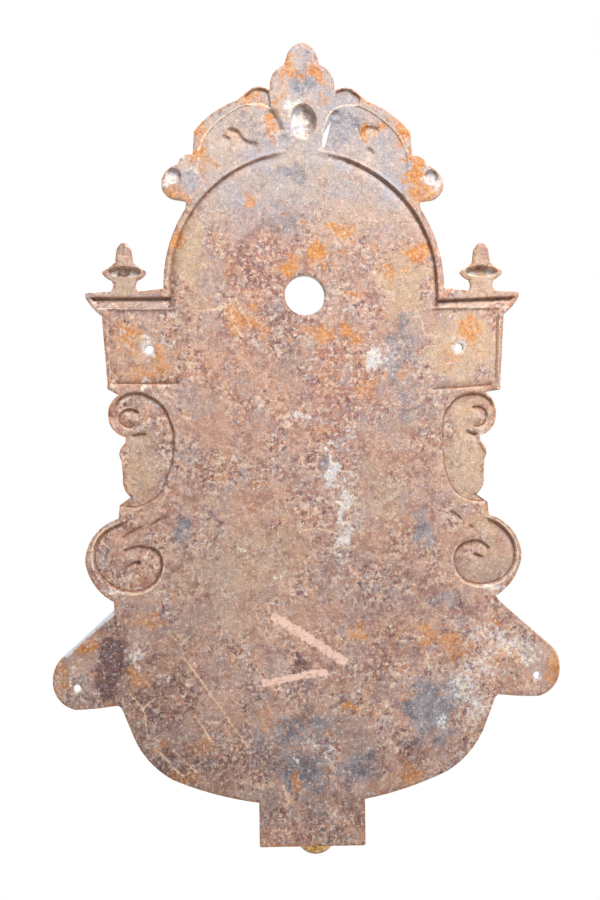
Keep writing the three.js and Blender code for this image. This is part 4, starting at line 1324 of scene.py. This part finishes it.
def waste_locknut():
    """A brass nut with eight sides and turned-down corners."""
    low, high = -439.5, -430.5
    turn = [(0, low), (21.4, low), (23.7, low + 1.5), (23.7, high - 1.5), (21.4, high), (0, high)]
    prism = pin("waste_locknut_shown", 23.5, low, high, 8, WASTE_X, WASTE_Y)
    bore = pin("bore", 14.8, low - 5, high + 5, 96, WASTE_X, WASTE_Y)
    body = combined(combined(prism, "INTERSECT", waste_turned("turned_down", turn)), "DIFFERENCE", bore)
    dressed(body, "fountain", "aged_brass", "waste_locknut", aged_brass())


def outlet_nozzle():
    """The domed outlet on the end of the tail."""
    radius, centre, mouth = 20.0, -474.4, 5.0
    top, ceiling = -465.5, -482.1
    bend = np.radians(np.arange(-66, -2, 3))
    dome = [(radius * math.cos(t), centre + radius * math.sin(t)) for t in bend]
    low = dome[0][1]
    collar = [(20, -473.6), (20.6, -473.2), (21.4, -472.8), (21.6, -472.2), (21.6, -467.4), (21.3, -466)]
    inner = [(14.8, top), (14.8, ceiling), (mouth, ceiling), (mouth, low + 0.5), (mouth + 0.5, low)]
    body = waste_turned("outlet_nozzle_shown", inner + dome + collar + [(20.6, top)], closed=True)
    dressed(body, "fountain", "aged_brass", "outlet_nozzle", aged_brass())


def soft_ring(inner, outer, low, high):
    """Profile of a washer with rounded edges, as (radius, height)."""
    edge = min(0.35, (high - low) / 3)
    half = [(inner, low + edge), (inner + edge, low), (outer - edge, low), (outer, low + edge)]
    return half + [(radius, high + low - height) for radius, height in reversed(half)]


def washers_and_seal():
    def squeezed(radius, height, angle):
        """The outer edge bulges unevenly where it is pressed out."""
        return (0.25 * np.sin(angle * 5 + 1) + 0.15 * np.sin(angle * 11)) * (radius > 16)

    rings = [
        ("waste_top_washer", soft_ring(15.2, 24.6, -419.7, -418.7), squeezed, "rubber", washer_rubber),
        ("waste_bottom_washer", soft_ring(15.2, 23.6, -430.2, -427.9), squeezed, "rubber", washer_rubber),
        ("nozzle_washer", soft_ring(11.2, 14.3, -481.8, -480.3), None, "fibre", red_fibre),
    ]
    for node, profile, ripple, slot, material in rings:
        ring = waste_turned(node + "_shown", profile, closed=True, ripple=ripple)
        dressed(ring, "fountain", slot, node, material())
    profile = soft_ring(4.2, 8, SCREW_SEAT - 1.5, SCREW_SEAT - 0.3)
    for number, (x, z) in enumerate(BASIN_SCREWS, 1):
        ring = lying(turned(f"basin_washer_{number}_shown", profile, 64, closed=True), x, z)
        dressed(ring, "fountain", "rubber", f"basin_washer_{number}", washer_rubber())
    gap = 0.3  # between the seal and both castings
    seal_low, seal_high = (-158, PLATE + gap, BOWL_RIM - 12), (158, BOWL_BACK - gap, BOWL_RIM - 2)
    seal = box("basin_seal_shown", seal_low, seal_high, 0.8)
    dressed(seal, "fountain", "rubber", "basin_seal", washer_rubber())


# ------------------------------------------------------------------ materials


def on_screen(red, green, blue):
    """A colour given as 0 to 255 on screen, as the linear values that Blender wants."""
    shares = [value / 255 for value in (red, green, blue)]
    return [s / 12.92 if s <= 0.04045 else ((s + 0.055) / 1.055) ** 2.4 for s in shares] + [1.0]


class Recipe:
    """A material's node tree, built by short calls that return sockets. A value can be a
    socket, a number or a colour as three numbers on screen. The colour is what has been
    laid down so far, and each lay covers it with another."""

    def __init__(self, name, roughness=0.85, metallic=0.0):
        self.material = bpy.data.materials.new(name)
        self.material.use_nodes = True
        self.tree = self.material.node_tree
        self.shader = self.tree.nodes["Principled BSDF"]
        self.shader.inputs["Roughness"].default_value = roughness
        self.shader.inputs["Metallic"].default_value = metallic
        self.place = self.node("TexCoord").outputs["Object"]
        self.colour = None

    def node(self, kind, **settings):
        node = self.tree.nodes.new("ShaderNode" + kind)
        for name, value in settings.items():
            setattr(node, name, value)
        return node

    def put(self, socket, value):
        if isinstance(value, bpy.types.NodeSocket):
            self.tree.links.new(value, socket)
        else:
            is_colour = isinstance(value, tuple) and socket.type == "RGBA"
            socket.default_value = on_screen(*value) if is_colour else value

    def noise(self, size, detail=4.0, rough=0.6, shift=0.0, squeeze=(1, 1, 1)):
        """Noise whose features are about size millimetres across."""
        mapping = self.node("Mapping")
        self.put(mapping.inputs["Vector"], self.place)
        self.put(mapping.inputs["Location"], (shift, shift * 0.7, -shift))
        self.put(mapping.inputs["Scale"], squeeze)
        node = self.node("TexNoise")
        self.put(node.inputs["Vector"], mapping.outputs["Vector"])
        self.put(node.inputs["Scale"], 1000 / size)
        self.put(node.inputs["Detail"], detail)
        self.put(node.inputs["Roughness"], rough)
        return node.outputs["Fac"]

    def mark(self, name):
        """An amount stored at the mesh's points."""
        return self.node("Attribute", attribute_name=name).outputs["Fac"]

    def math(self, operation, first, second=0.0):
        node = self.node("Math", operation=operation)
        self.put(node.inputs[0], first)
        self.put(node.inputs[1], second)
        return node.outputs[0]

    def times(self, first, second):
        return self.math("MULTIPLY", first, second)

    def plus(self, first, second):
        return self.math("ADD", first, second)

    def ramp(self, value, low, high, to_low=0.0, to_high=1.0):
        """An S-curve of the value between low and high."""
        node = self.node("MapRange", interpolation_type="SMOOTHSTEP")
        for name, number in zip(
            ("Value", "From Min", "From Max", "To Min", "To Max"), (value, low, high, to_low, to_high)
        ):
            self.put(node.inputs[name], number)
        return node.outputs["Result"]

    def mix(self, factor, first, second, blend="MIX"):
        node = self.node("Mix", data_type="RGBA", blend_type=blend)
        self.put(node.inputs["Factor"], factor)
        self.put(node.inputs[6], first)
        self.put(node.inputs[7], second)
        return node.outputs[2]

    def two_tone(self, noise, first, second, low=0.42, high=0.58):
        return self.mix(self.ramp(noise, low, high), first, second)

    def lay(self, amount, strength, tint):
        self.colour = self.mix(self.times(amount, strength), self.colour, tint)

    def ragged(self, mark, noise, spread, low=0.35, high=0.62):
        """A mark whose edge is broken up by a noise."""
        stir = self.times(self.math("SUBTRACT", noise, 0.5), spread)
        return self.ramp(self.plus(mark, stir), low, high)

    def soft(self, mark, noise, spread):
        """A mark that thins out gradually, mottled by a noise."""
        return self.ragged(mark, noise, spread, 0.15, 0.95)

    def bump(self, height, distance, strength=1.0, below=None):
        node = self.node("Bump")
        self.put(node.inputs["Strength"], strength)
        self.put(node.inputs["Distance"], distance * MM)
        self.put(node.inputs["Height"], height)
        if below is not None:
            self.put(node.inputs["Normal"], below)
        return node.outputs["Normal"]

    def finish(self, normal=None, roughness=None):
        self.put(self.shader.inputs["Base Color"], self.colour)
        if normal is not None:
            self.put(self.shader.inputs["Normal"], normal)
        if roughness is not None:
            self.put(self.shader.inputs["Roughness"], roughness)
        return self.material


def rusted_iron():
    """Bare cast iron gone to rust, with oxide greys, orange blooms and traces of paint."""
    m = Recipe("rusted_iron")
    broad, other = m.noise(48, 4, 0.6), m.noise(34, 5, 0.65, 9.4)
    middle, small = m.noise(13, 6, 0.7, 3.1), m.noise(6, 5, 0.75, 5.3)
    fine, grain = m.noise(3.2, 5, 0.75, 7.7), m.noise(1.5, 3, 0.8, 1.3)

    def marked(name, spread, noise=small, scale=1.0):
        return m.soft(m.times(m.mark(name), scale), noise, spread)

    m.colour = m.two_tone(middle, (162, 116, 106), (214, 174, 154))
    m.lay(m.ramp(broad, 0.42, 0.58), 0.6, (204, 156, 130))
    m.lay(m.ramp(other, 0.47, 0.60), 0.6, (184, 164, 158))
    grey, tan, red, blue, dark = (
        marked(name, spread)
        for name, spread in (("grey", 1.6), ("tan", 1.4), ("red", 2.0), ("blue", 1.4), ("dark", 2.0))
    )
    m.lay(grey, 0.85, m.two_tone(broad, (184, 182, 190), (212, 192, 178), 0.4, 0.6))
    m.lay(tan, 0.7, m.two_tone(small, (224, 196, 156), (210, 178, 150)))
    m.lay(red, 0.75, (168, 110, 100))
    m.lay(blue, 0.9, m.two_tone(middle, (108, 118, 134), (154, 156, 168)))
    m.lay(dark, 0.85, (112, 75, 80))
    rim = m.ragged(m.times(m.mark("rim"), 0.6), small, 2.2)
    m.lay(rim, 0.75, m.two_tone(fine, (142, 88, 56), (226, 150, 100)))

    # Specks of many sizes, crowded in some places and in the red stains and dark patches.
    crowded = m.ramp(m.noise(34, 4, 0.6, 44.0), 0.42, 0.58, 0.12, 1.0)
    crowded = m.math("MAXIMUM", crowded, m.times(m.math("MAXIMUM", red, dark), 0.9))
    calm = m.math("MAXIMUM", m.math("MAXIMUM", grey, tan), blue)
    crowded = m.times(crowded, m.ramp(calm, 0.0, 1.0, 1.0, 0.3))
    # Gloom: the strongest dark patches, among them the painted shadow at the left ear's root.
    gloom = m.ramp(m.mark("dark"), 0.6, 1.0)
    pale_ones = m.times(crowded, m.ramp(gloom, 0.4, 1.0, 1.0, 0.25))
    for size, shift, strength, tint, where in (
        (11.0, 41.0, 0.55, (216, 148, 104), crowded),
        (12.0, 52.0, 0.60, (176, 166, 172), crowded),
        (9.0, 12.9, 0.75, (130, 86, 92), crowded),
        (6.5, 17.0, 0.75, (240, 212, 188), pale_ones),
        (4.6, 85.0, 0.45, (230, 160, 104), crowded),
        (4.2, 63.0, 0.75, (98, 62, 68), crowded),
        (3.6, 74.0, 0.70, (248, 226, 206), pale_ones),
    ):
        m.lay(m.times(m.ramp(m.noise(size, 2, 0.55, shift), 0.54, 0.66), where), strength, tint)
    m.lay(gloom, 0.5, (110, 82, 82))

    m.lay(marked("orange", 1.0, middle), 0.4, (224, 164, 108))
    m.lay(marked("orange", 1.8), 0.95, m.two_tone(fine, (200, 116, 58), (238, 164, 78), 0.4, 0.6))
    m.colour = m.mix(1.0, m.colour, m.ramp(grain, 0.32, 0.68, 0.78, 1.18), "MULTIPLY")
    # Painted light and shade over the whole rear face, with its random mottled tone.
    m.colour = m.mix(1.0, m.colour, m.mark("shade"), "MULTIPLY")
    # Painted highlights along ridges and rims, from the worn mark.
    m.lay(m.ragged(m.times(m.mark("worn"), 0.75), small, 1.6), 0.8, (246, 224, 196))
    white = m.two_tone(small, (210, 212, 224), (250, 240, 220), 0.4, 0.6)
    m.lay(marked("white", 4.0, m.noise(4, 5, 0.75, 21.0), 0.9), 0.9, white)
    m.lay(marked("chalk", 4.5, m.noise(3.4, 5, 0.8, 31.0), 0.95), 0.85, (250, 210, 192))
    m.lay(marked("scratch", 3.0, fine), 0.8, (236, 200, 166))
    m.lay(marked("glaze", 1.2), 0.9, (216, 220, 232))
    # Dirt and painted shade: in the folds, in the arch groove and on faces turned downwards.
    m.lay(marked("dirt_and_shade", 1.6), 0.8, m.two_tone(fine, (104, 66, 46), (150, 98, 62), 0.4, 0.6))
    height = m.plus(m.times(fine, 0.6), m.times(grain, 0.4))
    normal = m.bump(height, 1.0, 0.9, m.bump(middle, 1.6, 0.6))
    return m.finish(normal, m.ramp(fine, 0.3, 0.7, 0.72, 0.95))


def chipped_enamel(name="chipped_enamel", wet=0.0):
    """Old white enamel on cast iron, yellowed, streaked and chipped through to rust. Where
    water stood, low in the bowl, it is stained by the amount wet."""
    m = Recipe(name)
    broad, chips = m.noise(70, 4, 0.55, 2.0), m.noise(11, 7, 0.72, 5.0)
    fine, streaks = m.noise(2.4, 4, 0.7, 9.0), m.noise(9, 5, 0.6, 4.0, (1, 1, 0.12))
    m.colour = m.two_tone(broad, (226, 222, 212), (206, 200, 186), 0.35, 0.65)
    m.lay(m.ramp(streaks, 0.55, 0.75), 0.45, (188, 150, 112))

    # Rust ran down from the tap, in metres: a narrow band on the plate and the bowl's back.
    separate = m.node("SeparateXYZ")
    m.put(separate.inputs[0], m.place)
    x, y, z = separate.outputs
    under_tap = m.times(m.ramp(m.math("ABSOLUTE", x), 0.020, 0.003), m.ramp(z, 0.045, 0.020))
    under_tap = m.times(under_tap, m.ramp(y, 0.060, 0.035))
    m.lay(under_tap, m.ramp(streaks, 0.38, 0.62, 0.1, 0.85), (178, 124, 78))

    # The stain of standing water, stronger the lower it is.
    m.lay(m.ramp(z, -0.345, -0.415, 0.0, wet), m.ramp(chips, 0.3, 0.6), (164, 126, 88))
    # Painted shade in the recesses of the enamelled face.
    recess_shade = m.ramp(m.plus(m.mark("recess_shade"), m.times(chips, 0.4)), 0.25, 0.95)
    m.lay(recess_shade, 0.75, (128, 108, 84))
    worn = m.plus(m.times(chips, 0.8), m.times(broad, 0.35))
    m.lay(m.ramp(worn, 0.63, 0.70), 0.8, (176, 112, 68))
    bare = m.ramp(worn, 0.67, 0.71)
    m.lay(bare, 1.0, m.two_tone(fine, (116, 74, 56), (170, 108, 74), 0.35, 0.65))
    height = m.plus(m.math("SUBTRACT", 1.0, bare), m.times(fine, 0.15))
    return m.finish(m.bump(height, 0.5, 0.7), m.ramp(bare, 0, 1, 0.38, 0.9))


@lru_cache
def aged_brass():
    """Dull yellow brass, browned in blotches and speckled with lime and verdigris."""
    m = Recipe("aged_brass", metallic=0.85)
    spots, fine = m.noise(2.2, 4, 0.65, 6.0), m.noise(0.9, 3, 0.7, 8.0)
    m.colour = m.two_tone(m.noise(6, 4, 0.6, 3.0), (140, 104, 60), (206, 164, 96), 0.40, 0.62)
    m.lay(m.ramp(spots, 0.55, 0.66), 0.8, (84, 58, 36))
    m.lay(m.ramp(m.noise(4, 4, 0.65, 14.0), 0.60, 0.70), 0.6, (140, 152, 124))
    return m.finish(m.bump(m.plus(spots, fine), 0.2, 0.6), m.ramp(spots, 0.45, 0.65, 0.36, 0.75))


@lru_cache
def worn_steel():
    m = Recipe("worn_steel", metallic=0.8)
    spots = m.noise(3, 5, 0.7)
    m.colour = m.two_tone(spots, (150, 142, 134), (128, 84, 58), 0.48, 0.62)
    return m.finish(m.bump(spots, 0.2, 0.6), m.ramp(spots, 0.4, 0.6, 0.4, 0.85))


@lru_cache
def washer_rubber():
    m = Recipe("washer_rubber")
    dust = m.noise(2.5, 5, 0.7)
    m.colour = m.two_tone(dust, (44, 42, 38), (96, 88, 78), 0.45, 0.7)
    return m.finish(m.bump(dust, 0.15, 0.6))


@lru_cache
def red_fibre():
    m = Recipe("red_fibre", roughness=0.8)
    threads = m.noise(1.2, 4, 0.7, 0.0, (1, 1, 4))
    m.colour = m.mix(threads, (96, 38, 28), (150, 66, 48))
    return m.finish(m.bump(threads, 0.15, 0.6))


# ------------------------------------------------------------------ studio

CAMERA_YAW = math.radians(4.05)
CAMERA_PITCH = math.radians(0.49)
CAMERA_ROLL = math.radians(0.81)
CAMERA_DISTANCE = 1.0
CAMERA_TARGET = Vector((-0.0071, 0.0, -0.097))
CAMERA_LENS = 42.1  # for a 36 mm sensor along the picture's height
FLOOR_Z = -1.20  # the fountain hangs on a wall, well above the floor
FLOOR_RADIUS = 1.5


def camera():
    """The photograph's view: nearly square to the rear face, turned and tilted a little."""
    forward = Vector((math.sin(CAMERA_YAW), math.cos(CAMERA_YAW), math.sin(CAMERA_PITCH))).normalized()
    level = Vector((math.cos(CAMERA_YAW), -math.sin(CAMERA_YAW), 0))
    upright = level.cross(forward)
    right = level * math.cos(CAMERA_ROLL) - upright * math.sin(CAMERA_ROLL)
    up = level * math.sin(CAMERA_ROLL) + upright * math.cos(CAMERA_ROLL)
    data = bpy.data.cameras.new("camera")
    data.lens = CAMERA_LENS
    data.sensor_width = 36
    item = linked("camera", data)
    turn = Matrix((right, up, -forward)).transposed()
    item.matrix_world = Matrix.Translation(CAMERA_TARGET - forward * CAMERA_DISTANCE) @ turn.to_4x4()
    bpy.context.scene.camera = item


def area_light(name, place, target, size, power):
    data = bpy.data.lights.new(name, "AREA")
    data.shape = "DISK"
    data.size = size
    data.energy = power
    item = linked(name, data)
    item.rotation_euler = (Vector(target) - Vector(place)).to_track_quat("-Z", "Y").to_euler()
    item.location = place


def surroundings():
    """A world that is white where the camera sees it and lights the object less brightly."""
    world = bpy.data.worlds.new("studio")
    bpy.context.scene.world = world
    world.use_nodes = True
    nodes, links = world.node_tree.nodes, world.node_tree.links
    seen, lit = nodes["Background"], nodes.new("ShaderNodeBackground")
    for background, strength in ((seen, 1.0), (lit, 0.33)):
        background.inputs["Color"].default_value = (1, 1, 1, 1)
        background.inputs["Strength"].default_value = strength
    pick = nodes.new("ShaderNodeMixShader")
    links.new(nodes.new("ShaderNodeLightPath").outputs["Is Camera Ray"], pick.inputs[0])
    links.new(lit.outputs[0], pick.inputs[1])
    links.new(seen.outputs[0], pick.inputs[2])
    links.new(pick.outputs[0], nodes["World Output"].inputs["Surface"])


def floor():
    """A pale disc that fades into the white surroundings at its edge."""
    m = Recipe("pale_floor", roughness=0.9)
    away = m.node("VectorMath", operation="LENGTH")
    m.put(away.inputs[0], m.place)
    glow = m.ramp(away.outputs["Value"], 0.5 * FLOOR_RADIUS, 0.97 * FLOOR_RADIUS, 0.25, 1.2)
    m.shader.inputs["Emission Color"].default_value = (1, 1, 1, 1)
    m.put(m.shader.inputs["Emission Strength"], glow)
    m.colour = m.mix(m.noise(400, 3, 0.5), (234, 234, 234), (241, 241, 241))
    m.finish()
    bpy.ops.mesh.primitive_circle_add(vertices=96, radius=FLOOR_RADIUS, fill_type="NGON")
    item = bpy.context.object
    item.name = "pale_floor"
    item.location.z = FLOOR_Z
    item.data.materials.append(m.material)


# ------------------------------------------------------------------ assembly

camera()
surroundings()
area_light("key", (0.5, -0.9, 1.3), (0, 0, -0.05), 0.8, 40)  # over the rear face
area_light("front", (0.7, 1.9, 1.5), (0, 0, -0.1), 1.2, 50)  # over the front
floor()
bpy.context.scene.view_settings.view_transform = "Standard"

back_plate()
basin()
basin_screws()
waste_body()
waste_strainer()
waste_locknut()
outlet_nozzle()
washers_and_seal()
